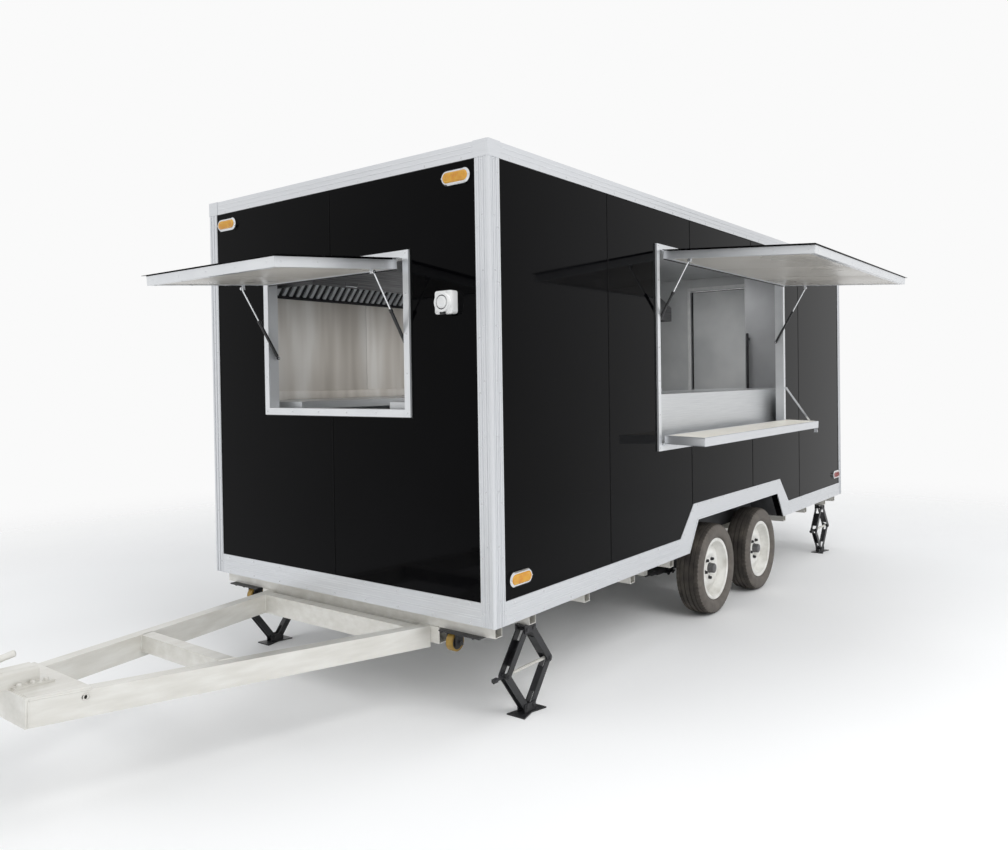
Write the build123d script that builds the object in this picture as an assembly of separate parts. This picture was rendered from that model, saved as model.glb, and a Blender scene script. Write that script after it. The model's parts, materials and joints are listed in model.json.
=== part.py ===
from build123d import *
import os
from math import asin, atan2, cos, degrees, hypot, radians, sin

# Driving dimensions in millimetres and degrees.
# X points forward along the drawbar, Y to the serving side, Z up from the ground.

# Body box
body_length = 4970
body_width = 2000
body_height = 2055
trim_thick = 4
wall_thick = 45
roof_thick = 45
floor_thick = 50

# Aluminium trim
post_leg = 75
post_corner_radius = 10
post_groove_width = 6
post_groove_depth = 1.5
post_groove_places = (26, 50)
roof_trim_height = 70
roof_trim_top = 60
corner_cap_leg = 82
corner_cap_proud = 2
skirt_height = 103

# Wheel arch, measured from its own centre
arch_x = -195
arch_room = 75
arch_end_room = 9.5
arch_lean = 127
arch_band = 102
arch_band_top = 60
arch_band_foot = 115

# Windows: frame, lining and hinge line
side_window_x = -25
side_opening_width = 1984
side_opening_height = 1092
side_head_drop = 293
side_frame_face = 33
front_window_y = 14
front_opening_width = 980
front_opening_height = 685
front_head_drop = 450
front_frame_face = 35
frame_proud = 8
lining_thick = 4
lining_depth = 54

# Hinges
hinge_out = 15
barrel_radius = 6
pin_radius = 3
pin_clearance = 0.05
barrel_gap = 0.5
hinge_gap = 5
leaf_thick = 2
leaf_length = 30
awning_knuckles = 9
counter_knuckles = 7
door_knuckles = 11

# Awnings, counter and door
panel_thick = 42
panel_drop = 6
awning_edge = 32
awning_recess = 6
awning_side_gap = 26
awning_skin = 2
awning_skin_start = 12
awning_side_lap = 2
awning_lip = 8
side_awning_droop = 3.8
front_awning_droop = 4.7
counter_side_gap = 9.5
counter_reach = 245
counter_thick = 48
counter_drop = 7
counter_droop = 2
door_width = 780
door_head_drop = 171
door_frame_face = 40
door_edge_gap = 5
door_handle_rise = 441
door_handle_inset = 75
handle_plate_width = 40
handle_plate_height = 150
handle_plate_thick = 8
handle_stand_off = 40
handle_lever_length = 120
handle_radius = 8

# Gas struts: pin on the awning (along the panel, below the hinge), pivot inside the frame
strut_gap = 13
strut_radius = 8
strut_rod_radius = 4
strut_eye_radius = 8
strut_eye_width = 10
strut_stud_radius = 4
strut_stud_gap = 0.8
strut_neck = 14
strut_rod_hold = 20
strut_end_room = 36
strut_pin_drop = 63
side_strut_pin = 169
side_strut_pivot_in = 45
side_strut_pivot_drop = 462
front_strut_pin = 165
front_strut_pivot_in = 42
front_strut_pivot_drop = 425

# Counter stay
stay_width = 12
stay_thick = 4
stay_pivot_out = 22
stay_pivot_rise = 288
stay_stud_radius = 4
stay_stud_reach = 228
stay_stud_rise = -18.5
stay_hook_wall = 4
stay_hook_lean = 31
stay_lug_length = 24
stay_lug_drop = 10

# Chassis and drawbar
rail_y = 610
rail_width = 60
rail_height = 75
rail_wall = 4
cross_tube_height = 60
cross_tube_width = 50
cross_tube_wall = 3
cross_tube_well_gap = 15
cross_tube_end_inset = 80
cross_tube_arch_pitch = 455
cross_tube_arch_reach = 955
front_beam_width = 60
drawbar_half = 575
drawbar_slope = 0.269
drawbar_rise = 1.83
drawbar_length = 1500
drawbar_beam_width = 60
drawbar_beam_height = 95
drawbar_wall = 6
nose_plate_length = 190
nose_plate_thick = 10
chain_hole_radius = 9
chain_hole_back = 175
coupler_ball_radius = 25.3
coupler_reach = 185
coupler_width = 76
coupler_height = 62
coupler_edge = 12
coupler_base_lap = 40
coupler_base_thick = 8
coupler_base_side = 30
latch_width = 26
latch_height = 26
latch_length = 40
latch_back = 50
latch_lever_radius = 9
latch_lever_length = 120
latch_lever_rise = 24

# Running gear
axle_back = 30
axle_spacing = 765
tyre_radius = 288
tyre_width = 175
tread_half = 62
shoulder_drop = 14
shoulder_width = 15
bead_half = 62
bead_taper = 2
flange_room = 3
wheel_inset = 102
rim_seat_radius = 178
rim_flange_radius = 195
rim_half_width = 70
rim_dish = 34
rim_disc_thick = 6
rim_face_drop = 14
rim_edge_drop = 22
rim_face_radius = 68
rim_crown_radius = 98
rim_barrel_thick = 5
seat_clearance = 0.3
hub_radius = 48
hub_cap_radius = 31
hub_cap_length = 42
spindle_radius = 19
axle_square = 50
spring_width = 60
spring_half = 330
spring_leaf = 10
hanger_half = 22
hanger_height = 68
wheel_box_depth = 230
wheel_box_wall = 4

# Scissor jacks
jack_inset = 40
jack_front_inset = 330
jack_rear_inset = 345
jack_arm = 222
jack_arm_height = 34
jack_arm_plate = 5
jack_upper_width = 46
jack_lower_width = 34
jack_pivot_half = 25
jack_pin_radius = 6
jack_top_drop = 24
jack_foot_pivot = 30
jack_screw_radius = 7
jack_screw_head = 13
jack_screw_head_length = 20
jack_screw_tail = 60
jack_trunnion_radius = 11
jack_plate = 5
jack_ear_drop = 14
jack_arm_clear = 0.5
jack_foot_length = 170
jack_foot_width = 100
jack_foot_waist = 60
jack_foot_thick = 6

# Guide casters
caster_inset = 60
caster_side_inset = 232
caster_radius = 42
caster_width = 34
caster_drop = 50
caster_axle_radius = 8
caster_plate = 6
caster_plate_length = 80
caster_plate_inner = 40
caster_plate_outer = 150
caster_fork_width = 50
caster_fork_below = 18

# Lamps and inlet
lamp_length = 160
lamp_height = 66
lamp_bezel = 10
lamp_depth = 16
lens_depth = 14
lens_dome = 4
lamp_inset = 175
high_lamp_drop = 135
low_lamp_rise = 187
front_side_lamp_inset = 179
rear_side_lamp_inset = 172
inlet_inset = 232
inlet_drop = 669
inlet_width = 100
inlet_height = 100
inlet_depth = 50
inlet_body_depth = 35
inlet_corner = 12
inlet_cover_radius = 42
inlet_groove_radius = 32
inlet_groove_width = 5
inlet_groove_depth = 6

# Kitchen
bench_height = 900
bench_depth = 600
bench_top_thick = 40
hood_height = 450
hood_depth = 700
hood_skirt = 120
filter_low_rise = 45
filter_high_rise = 210
filter_count = 8
filter_slats = 9
filter_edge = 10
slat_height = 14
sheet = 3
fridge_width = 700
fridge_depth = 520
fridge_wall = 45
fitting_gap = 10
fridge_head_room = 106

# Derived places
half_length = body_length / 2
half_width = body_width / 2
spring_top = tyre_radius - axle_square / 2
rail_bottom = spring_top + hanger_height
rail_top = rail_bottom + rail_height
body_bottom = rail_top + cross_tube_height
body_top = body_bottom + body_height
wall_out_x = half_length - trim_thick
wall_out_y = half_width - trim_thick
wall_in_x = wall_out_x - wall_thick
wall_in_y = wall_out_y - wall_thick
roof_under = body_top - trim_thick - roof_thick
floor_top = body_bottom + floor_thick
side_head = body_top - side_head_drop
side_sill = side_head - side_opening_height
front_head = body_top - front_head_drop
front_sill = front_head - front_opening_height
door_sill = body_bottom + skirt_height + door_frame_face
door_head = body_top - door_head_drop
door_height = door_head - door_sill
side_awning_reach = side_opening_height - counter_reach - hinge_gap
front_awning_reach = front_opening_height - hinge_gap
axle_x = arch_x - axle_back
wheel_y = half_width - wheel_inset
wheel_box_inner = half_width - wheel_box_depth
arch_rise = 2 * tyre_radius + arch_room - body_bottom
arch_top_half = axle_spacing / 2 + tyre_radius + arch_end_room
arch_bottom_half = arch_top_half + arch_lean
arch_band_rise = arch_rise + arch_band
arch_band_top_half = arch_top_half + arch_band_top
arch_band_foot_half = arch_bottom_half + arch_band_foot
front_beam_x = wall_in_x
cross_tube_half = half_width - wall_thick
cross_tube_short_half = wheel_box_inner - cross_tube_well_gap
jack_y = cross_tube_half - jack_inset
jack_front_x = half_length - jack_front_inset
jack_rear_x = jack_rear_inset - half_length
caster_x = half_length - caster_inset
caster_y = cross_tube_half - caster_side_inset

nodes = {}


def block(x, y, z):
    """A box from (low, high) pairs along X, Y and Z."""
    size = (x[1] - x[0], y[1] - y[0], z[1] - z[0])
    centre = ((x[0] + x[1]) / 2, (y[0] + y[1]) / 2, (z[0] + z[1]) / 2)
    return Pos(*centre) * Box(*size)


def bar(start, end, radius):
    """A round bar between two points."""
    run = Vector(*end) - Vector(*start)
    return extrude(Plane(origin=start, z_dir=run) * Circle(radius), run.length)


def tube(x, y, z, wall, along):
    """A box-section tube from (low, high) pairs, open at both ends of one axis."""
    spans = (x, y, z)
    core = [pair if axis == along else (pair[0] + wall, pair[1] - wall) for axis, pair in enumerate(spans)]
    return block(*spans) - block(*core)


def both_sides(shape):
    """A piece and its mirror image across the trailer's middle."""
    return [shape, mirror(shape, about=Plane.XZ)]


def span(middle, width):
    """The (low, high) pair of a width about its middle."""
    return (middle - width / 2, middle + width / 2)


def add(name, *shapes):
    """Store a node's solids."""
    found = []
    for shape in shapes:
        found += shape.solids()
    nodes.setdefault(name, []).extend(found)


# Body panels

def arch_cut(margin=0):
    """The wheel arch outline as a prism right across the body."""
    outline = Polyline(
        (arch_x - arch_bottom_half - margin, body_bottom),
        (arch_x - arch_top_half - margin, body_bottom + arch_rise + margin),
        (arch_x + arch_top_half + margin, body_bottom + arch_rise + margin),
        (arch_x + arch_bottom_half + margin, body_bottom),
        close=True,
    )
    return extrude(Plane.XZ * make_face(outline), half_width, both=True)


side_hole = block(
    span(side_window_x, side_opening_width + 2 * lining_thick),
    (0, half_width),
    (side_sill - lining_thick, side_head + lining_thick),
)
front_hole = block(
    (0, half_length),
    span(front_window_y, front_opening_width + 2 * lining_thick),
    (front_sill - lining_thick, front_head + lining_thick),
)
door_hole = block(
    (-half_length, 0),
    span(0, door_width + 2 * lining_thick),
    (door_sill - lining_thick, door_head + lining_thick),
)
wheel_well = block(
    (arch_x - arch_bottom_half, arch_x + arch_bottom_half),
    (wheel_box_inner - wheel_box_wall, wall_out_y),
    (body_bottom, floor_top),
)

side_wall = block((-wall_out_x, wall_out_x), (wall_in_y, wall_out_y), (body_bottom, roof_under))
side_wall -= arch_cut()
end_wall = block((wall_in_x, wall_out_x), (-wall_in_y, wall_in_y), (body_bottom, roof_under))
floor = block((-wall_in_x, wall_in_x), (-wall_in_y, wall_in_y), (body_bottom, floor_top))
for well in both_sides(wheel_well):
    floor -= well

add("serving_wall", side_wall - side_hole)
add("far_wall", mirror(side_wall, about=Plane.XZ))
add("front_wall", end_wall - front_hole)
add("rear_wall", mirror(end_wall, about=Plane.YZ) - door_hole)
add("floor_panel", floor)
add("roof_panel", block(
    (-wall_out_x, wall_out_x), (-wall_out_y, wall_out_y), (roof_under, body_top - trim_thick),
))


# Aluminium corner posts, roof trim and skirt

def corner_post(x_sign, y_sign):
    """A grooved angle extrusion with a rounded outer edge."""
    angle = Polyline(
        (0, 0), (post_leg, 0), (post_leg, trim_thick), (trim_thick, trim_thick),
        (trim_thick, post_leg), (0, post_leg), close=True,
    )
    section = make_face(angle)
    section = fillet(section.vertices().group_by(Axis.X)[0].group_by(Axis.Y)[0], post_corner_radius)
    for place in post_groove_places:
        section -= Pos(place, 0) * Rectangle(post_groove_width, 2 * post_groove_depth)
        section -= Pos(0, place) * Rectangle(2 * post_groove_depth, post_groove_width)
    height = body_height - roof_trim_height
    post = Pos(-half_length, -half_width, body_bottom) * extrude(section, height)
    if x_sign > 0:
        post = mirror(post, about=Plane.YZ)
    if y_sign > 0:
        post = mirror(post, about=Plane.XZ)
    return post


for x_sign in (-1, 1):
    for y_sign in (-1, 1):
        add("corner_posts", corner_post(x_sign, y_sign))

roof_ring = block(
    (-half_length, half_length), (-half_width, half_width), (body_top - roof_trim_height, body_top),
)
roof_ring = fillet(roof_ring.edges().filter_by(Axis.Z), post_corner_radius)
roof_ring -= block(
    (-wall_out_x, wall_out_x), (-wall_out_y, wall_out_y),
    (body_top - roof_trim_height, body_top - trim_thick),
)
roof_ring -= block(
    (-half_length + roof_trim_top, half_length - roof_trim_top),
    (-half_width + roof_trim_top, half_width - roof_trim_top),
    (body_top - trim_thick, body_top),
)
cap_out_x = half_length + corner_cap_proud
cap_out_y = half_width + corner_cap_proud
cap = block(
    (half_length - corner_cap_leg, cap_out_x), (half_width - corner_cap_leg, cap_out_y),
    (body_top - roof_trim_height, body_top + corner_cap_proud),
)
cap = fillet(cap.edges().filter_by(Axis.Z).group_by(Axis.X)[-1].group_by(Axis.Y)[-1], post_corner_radius)
cap -= block(
    (0, wall_out_x), (0, wall_out_y), (body_top - roof_trim_height, body_top - trim_thick),
)
cap -= block(
    (0, half_length - roof_trim_top), (0, half_width - roof_trim_top),
    (body_bottom, body_top + corner_cap_proud),
)
for x_sign in (1, -1):
    end_cap = cap if x_sign > 0 else mirror(cap, about=Plane.YZ)
    for corner in both_sides(end_cap):
        roof_ring += corner
add("roof_trim", roof_ring)

skirt_end = half_length - post_leg
side_skirt_outline = Polyline(
    (-skirt_end, body_bottom),
    (-skirt_end, body_bottom + skirt_height),
    (arch_x - arch_band_foot_half, body_bottom + skirt_height),
    (arch_x - arch_band_top_half, body_bottom + arch_band_rise),
    (arch_x + arch_band_top_half, body_bottom + arch_band_rise),
    (arch_x + arch_band_foot_half, body_bottom + skirt_height),
    (skirt_end, body_bottom + skirt_height),
    (skirt_end, body_bottom),
    close=True,
)
side_skirt = extrude(Plane.XZ * make_face(side_skirt_outline), half_width, both=True)
side_skirt &= block((-skirt_end, skirt_end), (wall_out_y, half_width), (body_bottom, body_top))
side_skirt -= arch_cut()
end_skirt = block(
    (wall_out_x, half_length),
    (-half_width + post_leg, half_width - post_leg),
    (body_bottom, body_bottom + skirt_height),
)
add("skirt_trim", *both_sides(side_skirt), end_skirt, mirror(end_skirt, about=Plane.YZ))

wheel_box_top = body_bottom + arch_rise + wheel_box_wall
wheel_box = arch_cut(wheel_box_wall) & block(
    (-half_length, half_length), (wheel_box_inner - wheel_box_wall, wall_in_y), (body_bottom, wheel_box_top),
)
wheel_box -= arch_cut() & block(
    (-half_length, half_length), (wheel_box_inner, wall_in_y), (body_bottom, wheel_box_top),
)
wheel_box &= block(
    (arch_x - arch_bottom_half, arch_x + arch_bottom_half), (0, half_width), (body_bottom, wheel_box_top),
)
add("wheel_boxes", *both_sides(wheel_box))


# Hinged panels. Each is made about its hinge: X along the hinge, Y out along the panel, Z up.

def hinge_places(width, count):
    """(start, end) of each knuckle along a hinge; even ones are fixed, odd ones move."""
    pitch = width / count
    places = []
    for index in range(count):
        start = -width / 2 + index * pitch
        places.append((start + barrel_gap / 2, start + pitch - barrel_gap / 2))
    return places


def hinge_fixed(width, count, web_y, web_z):
    """The fixed knuckles, the webs that carry them on the frame's face, and the pin."""
    pin_half = width / 2
    solid = bar((-pin_half, 0, 0), (pin_half, 0, 0), pin_radius)
    for start, end in hinge_places(width, count)[::2]:
        solid += bar((start, 0, 0), (end, 0, 0), barrel_radius)
        solid += block((start, end), web_y, web_z)
    return solid


def hinge_moving(width, count, toward):
    """The moving knuckles and their leaves, bored for the pin."""
    pieces = []
    for start, end in hinge_places(width, count)[1::2]:
        leaf_at = sorted((toward * (barrel_radius - leaf_thick), toward * barrel_radius))
        knuckle = bar((start, 0, 0), (end, 0, 0), barrel_radius)
        knuckle += block((start, end), (0, leaf_length), leaf_at)
        knuckle -= bar((start, 0, 0), (end, 0, 0), pin_radius + pin_clearance)
        pieces.append(knuckle)
    return pieces


def strut_bracket(width, pin_along):
    """The plates under an awning's ends with the studs for its struts."""
    pieces = []
    plate = block(
        (width / 2 - stay_thick, width / 2),
        span(pin_along, 4 * strut_stud_radius),
        (-strut_pin_drop - 2 * strut_stud_radius, -panel_drop - panel_thick),
    )
    stud_end = width / 2 + awning_side_gap - strut_gap - strut_eye_width / 2 - strut_stud_gap
    plate += bar(
        (width / 2, pin_along, -strut_pin_drop), (stud_end, pin_along, -strut_pin_drop), strut_stud_radius,
    )
    pieces.append(plate)
    pieces.append(mirror(plate, about=Plane.YZ))
    return pieces


def awning_board(width, reach):
    """The board inside an awning's edge frame, and its skin that laps the window frame when shut."""
    board = block(
        (awning_edge - width / 2, width / 2 - awning_edge), (hinge_gap + awning_edge, reach - awning_edge),
        (awning_recess - panel_drop - panel_thick, -panel_drop),
    )
    board += block((-width / 2, width / 2), (leaf_length, reach), (-panel_drop, -awning_skin))
    return board + block(
        span(0, width + 2 * (awning_side_gap + awning_side_lap)), (awning_skin_start, reach + awning_lip),
        (-awning_skin, 0),
    )


def awning_frame(width, reach, pin_along):
    """The edge frame of an awning with its hinge barrels and strut brackets."""
    level = (-panel_drop - panel_thick, -panel_drop)
    frame = block((-width / 2, width / 2), (hinge_gap, reach), level)
    frame -= block(
        (awning_edge - width / 2, width / 2 - awning_edge),
        (hinge_gap + awning_edge, reach - awning_edge), level,
    )
    for piece in hinge_moving(width, awning_knuckles, -1) + strut_bracket(width, pin_along):
        frame += piece
    return frame


side_hinge = Pos(side_window_x, half_width + hinge_out, side_head)
front_hinge = Pos(half_length + hinge_out, front_window_y, front_head) * Rot(Z=-90)
counter_hinge = Pos(side_window_x, half_width + hinge_out, side_sill)
door_hinge_y = -door_width / 2
door_hinge_z = door_sill + door_height / 2
door_hinge = Pos(-half_length - hinge_out, door_hinge_y, door_hinge_z) * Rot(Y=-90)

side_awning_width = side_opening_width - 2 * awning_side_gap
front_awning_width = front_opening_width - 2 * awning_side_gap
counter_width = side_opening_width - 2 * counter_side_gap
side_rest = Rot(X=-side_awning_droop)
front_rest = Rot(X=-front_awning_droop)
counter_rest = Rot(X=-counter_droop)

side_place = side_hinge * side_rest
front_place = front_hinge * front_rest
add("side_awning", side_place * awning_frame(side_awning_width, side_awning_reach, side_strut_pin))
add("side_awning_panel", side_place * awning_board(side_awning_width, side_awning_reach))
add("front_awning", front_place * awning_frame(front_awning_width, front_awning_reach, front_strut_pin))
add("front_awning_panel", front_place * awning_board(front_awning_width, front_awning_reach))

counter = block(
    (-counter_width / 2, counter_width / 2), (hinge_gap, counter_reach),
    (counter_drop, counter_drop + counter_thick),
)
for piece in hinge_moving(counter_width, counter_knuckles, 1):
    counter += piece
    counter += block(
        span(piece.center().X, counter_width / counter_knuckles - barrel_gap),
        (hinge_gap, leaf_length), (barrel_radius - leaf_thick, counter_drop),
    )
stay_plane = side_opening_width / 2 + 2 * stay_thick
stay_stud = (-stay_plane - stay_thick, stay_stud_reach, stay_stud_rise)
counter += block(
    (-counter_width / 2, stay_thick - counter_width / 2), span(stay_stud_reach, stay_lug_length),
    (stay_stud_rise - stay_lug_drop, counter_drop),
)
counter += bar((-counter_width / 2, *stay_stud[1:]), stay_stud, stay_stud_radius)
add("counter_shelf", counter_hinge * counter_rest * counter)

door_bottom_gap = 2 * door_edge_gap
door = block(
    (-door_height / 2 + door_bottom_gap, door_height / 2 - door_edge_gap),
    (hinge_gap, door_width - door_edge_gap),
    (-panel_drop - panel_thick, -panel_drop),
)
for piece in hinge_moving(door_height, door_knuckles, -1):
    door += piece
add("rear_door", door_hinge * door)


# Window and door frames

def window_frame(width, height, face):
    """A lined frame with a proud outer flange. X across, Y out of the wall, Z up from the sill."""
    low = -lining_depth
    seat = -trim_thick
    flange = block(span(0, width + 2 * face), (seat, frame_proud), (-face, height + face))
    lining = block(
        span(0, width + 2 * lining_thick), (low, seat), (-lining_thick, height + lining_thick),
    )
    return flange + lining - block(span(0, width), (low, frame_proud), (0, height))


def strut_studs(width, pivot_in, pivot_rise):
    """The two studs inside a frame that carry its struts."""
    inner = width / 2 - strut_gap - strut_eye_width / 2 - strut_stud_radius
    stud = bar((inner, -pivot_in, pivot_rise), (width / 2, -pivot_in, pivot_rise), strut_stud_radius)
    return stud + mirror(stud, about=Plane.YZ)


to_face = (frame_proud - hinge_out, 0)
side_frame = Pos(side_window_x, half_width, side_sill) * (
    window_frame(side_opening_width, side_opening_height, side_frame_face)
    + strut_studs(side_opening_width, side_strut_pivot_in, side_opening_height - side_strut_pivot_drop)
)
side_frame += side_hinge * hinge_fixed(side_awning_width, awning_knuckles, to_face, (0, barrel_radius))
side_frame += counter_hinge * hinge_fixed(counter_width, counter_knuckles, to_face, (-barrel_radius, 0))
stay_pivot = (-stay_plane - stay_thick, stay_pivot_out - hinge_out, stay_pivot_rise)
stay_lug = block(
    span(-stay_plane - 2 * stay_thick, stay_thick),
    (frame_proud - hinge_out, stay_pivot[1] + stay_width / 2),
    span(stay_pivot_rise, stay_width),
)
stay_lug += bar(
    (-stay_plane - 2 * stay_thick, *stay_pivot[1:]), (-stay_plane + stay_thick, *stay_pivot[1:]),
    stay_stud_radius,
)
side_frame += counter_hinge * stay_lug
add("side_window_frame", side_frame)

front_frame = Pos(half_length, front_window_y, front_sill) * Rot(Z=-90) * (
    window_frame(front_opening_width, front_opening_height, front_frame_face)
    + strut_studs(front_opening_width, front_strut_pivot_in, front_opening_height - front_strut_pivot_drop)
)
front_frame += front_hinge * hinge_fixed(front_awning_width, awning_knuckles, to_face, (0, barrel_radius))
add("front_window_frame", front_frame)

door_frame = Pos(-half_length, 0, door_sill) * Rot(Z=90) * window_frame(
    door_width, door_height, door_frame_face,
)
door_frame += door_hinge * hinge_fixed(door_height, door_knuckles, (-barrel_radius, 0), to_face)
add("door_frame", door_frame)

handle_y = door_width / 2 - door_handle_inset
handle_z = door_sill + door_handle_rise
handle_x = -half_length - hinge_out + panel_drop
lever_x = handle_x - handle_stand_off
handle = block(
    (handle_x - handle_plate_thick, handle_x), span(handle_y, handle_plate_width),
    span(handle_z, handle_plate_height),
)
handle += bar(
    (handle_x, handle_y, handle_z), (lever_x, handle_y, handle_z), handle_radius,
)
handle += bar(
    (lever_x, handle_y + handle_radius, handle_z),
    (lever_x, handle_y - handle_lever_length, handle_z), handle_radius,
)
add("door_handle", handle)


# Counter stay: a flat bar hooked under the counter's stud

def turned(point, droop):
    """A point of a drooping panel, (along, up), as (out, up) from its hinge."""
    along, up = point
    angle = radians(droop)
    return (along * cos(angle) + up * sin(angle), up * cos(angle) - along * sin(angle))


stud_out, stud_up = turned(stay_stud[1:], counter_droop)
stay_run = (stud_out - stay_pivot[1], stud_up - stay_pivot[2])
stay_length = hypot(*stay_run)
stay_angle = degrees(atan2(stay_run[1], stay_run[0]))
stay_hole = stay_stud_radius + pin_clearance
stay_notch = stay_stud_radius + seat_clearance
stay_shape = Pos(stay_length / 2, 0) * SlotCenterToCenter(stay_length, stay_width)
stay_shape += Pos(stay_length, 0) * Circle(stay_notch + stay_hook_wall)
stay_shape -= Circle(stay_hole)
stay_shape -= Pos(stay_length, 0) * Circle(stay_notch)
stay_shape -= Pos(stay_length, 0) * Rot(Z=stay_hook_lean) * Pos(0, stay_width) * Rectangle(
    2 * stay_notch, 2 * stay_width,
)
stay_sheet = Plane(origin=(-stay_plane, stay_pivot[1], stay_pivot[2]), x_dir=(0, 1, 0), z_dir=(1, 0, 0))
stay = stay_sheet * Rot(Z=stay_angle) * extrude(stay_shape, -stay_thick)
add("counter_stay", counter_hinge * stay)


# Gas struts, each drawn along its own line from the frame pivot to the awning pin

def strut(hinge, droop, pin_along, pivot_in, pivot_rise, width):
    """Cylinders and rods of an awning's pair of struts, with lengths and angles at both ends."""
    pivot = (-hinge_out - pivot_in, pivot_rise)
    open_pin = turned((pin_along, -strut_pin_drop), droop)
    shut_pin = (-strut_pin_drop, -pin_along)
    open_run = (open_pin[0] - pivot[0], open_pin[1] - pivot[1])
    shut_run = (shut_pin[0] - pivot[0], shut_pin[1] - pivot[1])
    open_length = hypot(*open_run)
    shut_length = hypot(*shut_run)
    open_angle = degrees(atan2(open_run[1], open_run[0]))
    shut_angle = degrees(atan2(shut_run[1], shut_run[0]))
    tube_end = shut_length - strut_end_room
    rod_start = tube_end - strut_rod_hold
    bore_start = rod_start - (open_length - shut_length) - strut_rod_hold / 2
    across = strut_eye_width / 2
    hole = strut_stud_radius + pin_clearance
    cylinder = bar((-across, 0, 0), (across, 0, 0), strut_eye_radius)
    cylinder += bar((0, 0, 0), (0, strut_neck, 0), strut_rod_radius)
    cylinder += bar((0, strut_neck, 0), (0, tube_end, 0), strut_radius)
    cylinder -= bar((-across, 0, 0), (across, 0, 0), hole)
    cylinder -= bar((0, bore_start, 0), (0, tube_end, 0), strut_rod_radius + pin_clearance)
    rod = bar((0, rod_start, 0), (0, open_length, 0), strut_rod_radius)
    rod += bar((-across, open_length, 0), (across, open_length, 0), strut_eye_radius)
    rod -= bar((-across, open_length, 0), (across, open_length, 0), hole)
    plane_x = width / 2 - strut_gap
    found = {"cylinders": [], "rods": []}
    for side in (-1, 1):
        place = hinge * Pos(side * plane_x, *pivot) * Rot(X=open_angle)
        found["cylinders"].append(place * cylinder)
        found["rods"].append(place * rod)
    pivot_place = (hinge * Pos(0, *pivot)).position
    direction = (hinge * Rot(X=open_angle) * Pos(0, 1, 0)).position - hinge.position
    found["motion"] = {
        "pivot": tuple(pivot_place), "direction": tuple(direction),
        "turn": shut_angle - open_angle, "stroke": open_length - shut_length,
    }
    return found


side_struts = strut(
    side_hinge, side_awning_droop, side_strut_pin, side_strut_pivot_in,
    -side_strut_pivot_drop, side_opening_width,
)
front_struts = strut(
    front_hinge, front_awning_droop, front_strut_pin, front_strut_pivot_in,
    -front_strut_pivot_drop, front_opening_width,
)
add("side_strut_cylinders", *side_struts["cylinders"])
add("side_strut_rods", *side_struts["rods"])
add("front_strut_cylinders", *front_struts["cylinders"])
add("front_strut_rods", *front_struts["rods"])


# Chassis frame

along_x = 0
along_y = 1
rail_level = (rail_bottom, rail_top)
rail_span = (-wall_in_x, front_beam_x - front_beam_width)
rail = tube(rail_span, span(rail_y, rail_width), rail_level, rail_wall, along_x)
front_beam = tube(
    (front_beam_x - front_beam_width, front_beam_x), span(0, 2 * rail_y + rail_width), rail_level,
    rail_wall, along_y,
)
add("chassis_rails", *both_sides(rail), front_beam)

behind_arch = arch_x - cross_tube_arch_reach
ahead_of_arch = arch_x + cross_tube_arch_reach
# Cross tube centres along X, with the half length of each.
cross_tubes = (
    (cross_tube_end_inset - half_length, cross_tube_half),
    (jack_rear_x, cross_tube_half),
    ((jack_rear_x + behind_arch) / 2, cross_tube_half),
    (behind_arch, cross_tube_half),
    (arch_x - cross_tube_arch_pitch, cross_tube_short_half),
    (arch_x, cross_tube_short_half),
    (arch_x + cross_tube_arch_pitch, cross_tube_short_half),
    (ahead_of_arch, cross_tube_half),
    ((2 * ahead_of_arch + jack_front_x) / 3, cross_tube_half),
    ((ahead_of_arch + 2 * jack_front_x) / 3, cross_tube_half),
    (jack_front_x, cross_tube_half),
    (half_length - cross_tube_end_inset, cross_tube_half),
)
for tube_x, tube_half in cross_tubes:
    add("chassis_crossmembers", tube(
        span(tube_x, cross_tube_width), (-tube_half, tube_half), (rail_top, body_bottom),
        cross_tube_wall, along_y,
    ))


# Drawbar, made level with its top at the front wall, then raised to its slope

def drawbar_width(x):
    """Half the drawbar's outer width at a place along it."""
    return drawbar_half - drawbar_slope * x


def drawbar_strip(low, high, near, far, top, bottom):
    """A prism between two places along the drawbar, from one inset of its outer edge to another."""
    outline = Polyline(
        (low, drawbar_width(low) - near), (high, drawbar_width(high) - near),
        (high, drawbar_width(high) - far), (low, drawbar_width(low) - far), close=True,
    )
    return Pos(0, 0, top) * extrude(make_face(outline), bottom - top)


def drawbar_plate(low, high, inset, top, bottom):
    """A prism right across the drawbar between two places along it."""
    outline = Polyline(
        (low, drawbar_width(low) - inset), (high, drawbar_width(high) - inset),
        (high, inset - drawbar_width(high)), (low, inset - drawbar_width(low)), close=True,
    )
    return Pos(0, 0, top) * extrude(make_face(outline), bottom - top)


drawbar_start = front_beam_x - half_length
beam = drawbar_strip(drawbar_start, drawbar_length, 0, drawbar_beam_width, 0, -drawbar_beam_height)
beam -= drawbar_strip(
    drawbar_start, drawbar_length, drawbar_wall, drawbar_beam_width - drawbar_wall,
    -drawbar_wall, drawbar_wall - drawbar_beam_height,
)
drawbar = beam + mirror(beam, about=Plane.XZ)
# Cross members: place along the drawbar, depth along it, height.
drawbar_crosses = (
    (5, 60, drawbar_beam_height),
    (810, 60, 70),
)
for place, depth, height in drawbar_crosses:
    drawbar += drawbar_plate(place - depth / 2, place + depth / 2, drawbar_beam_width, 0, -height)

nose_back = drawbar_length - nose_plate_length
drawbar += drawbar_plate(nose_back, drawbar_length, 0, nose_plate_thick, 0)
drawbar += block(
    (drawbar_length, drawbar_length + nose_plate_thick),
    span(0, 2 * drawbar_width(drawbar_length)), (-drawbar_beam_height, nose_plate_thick),
)
chain_x = drawbar_length - chain_hole_back
chain_y = drawbar_width(chain_x) - drawbar_beam_width / 2
chain_z = -drawbar_beam_height / 4
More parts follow.
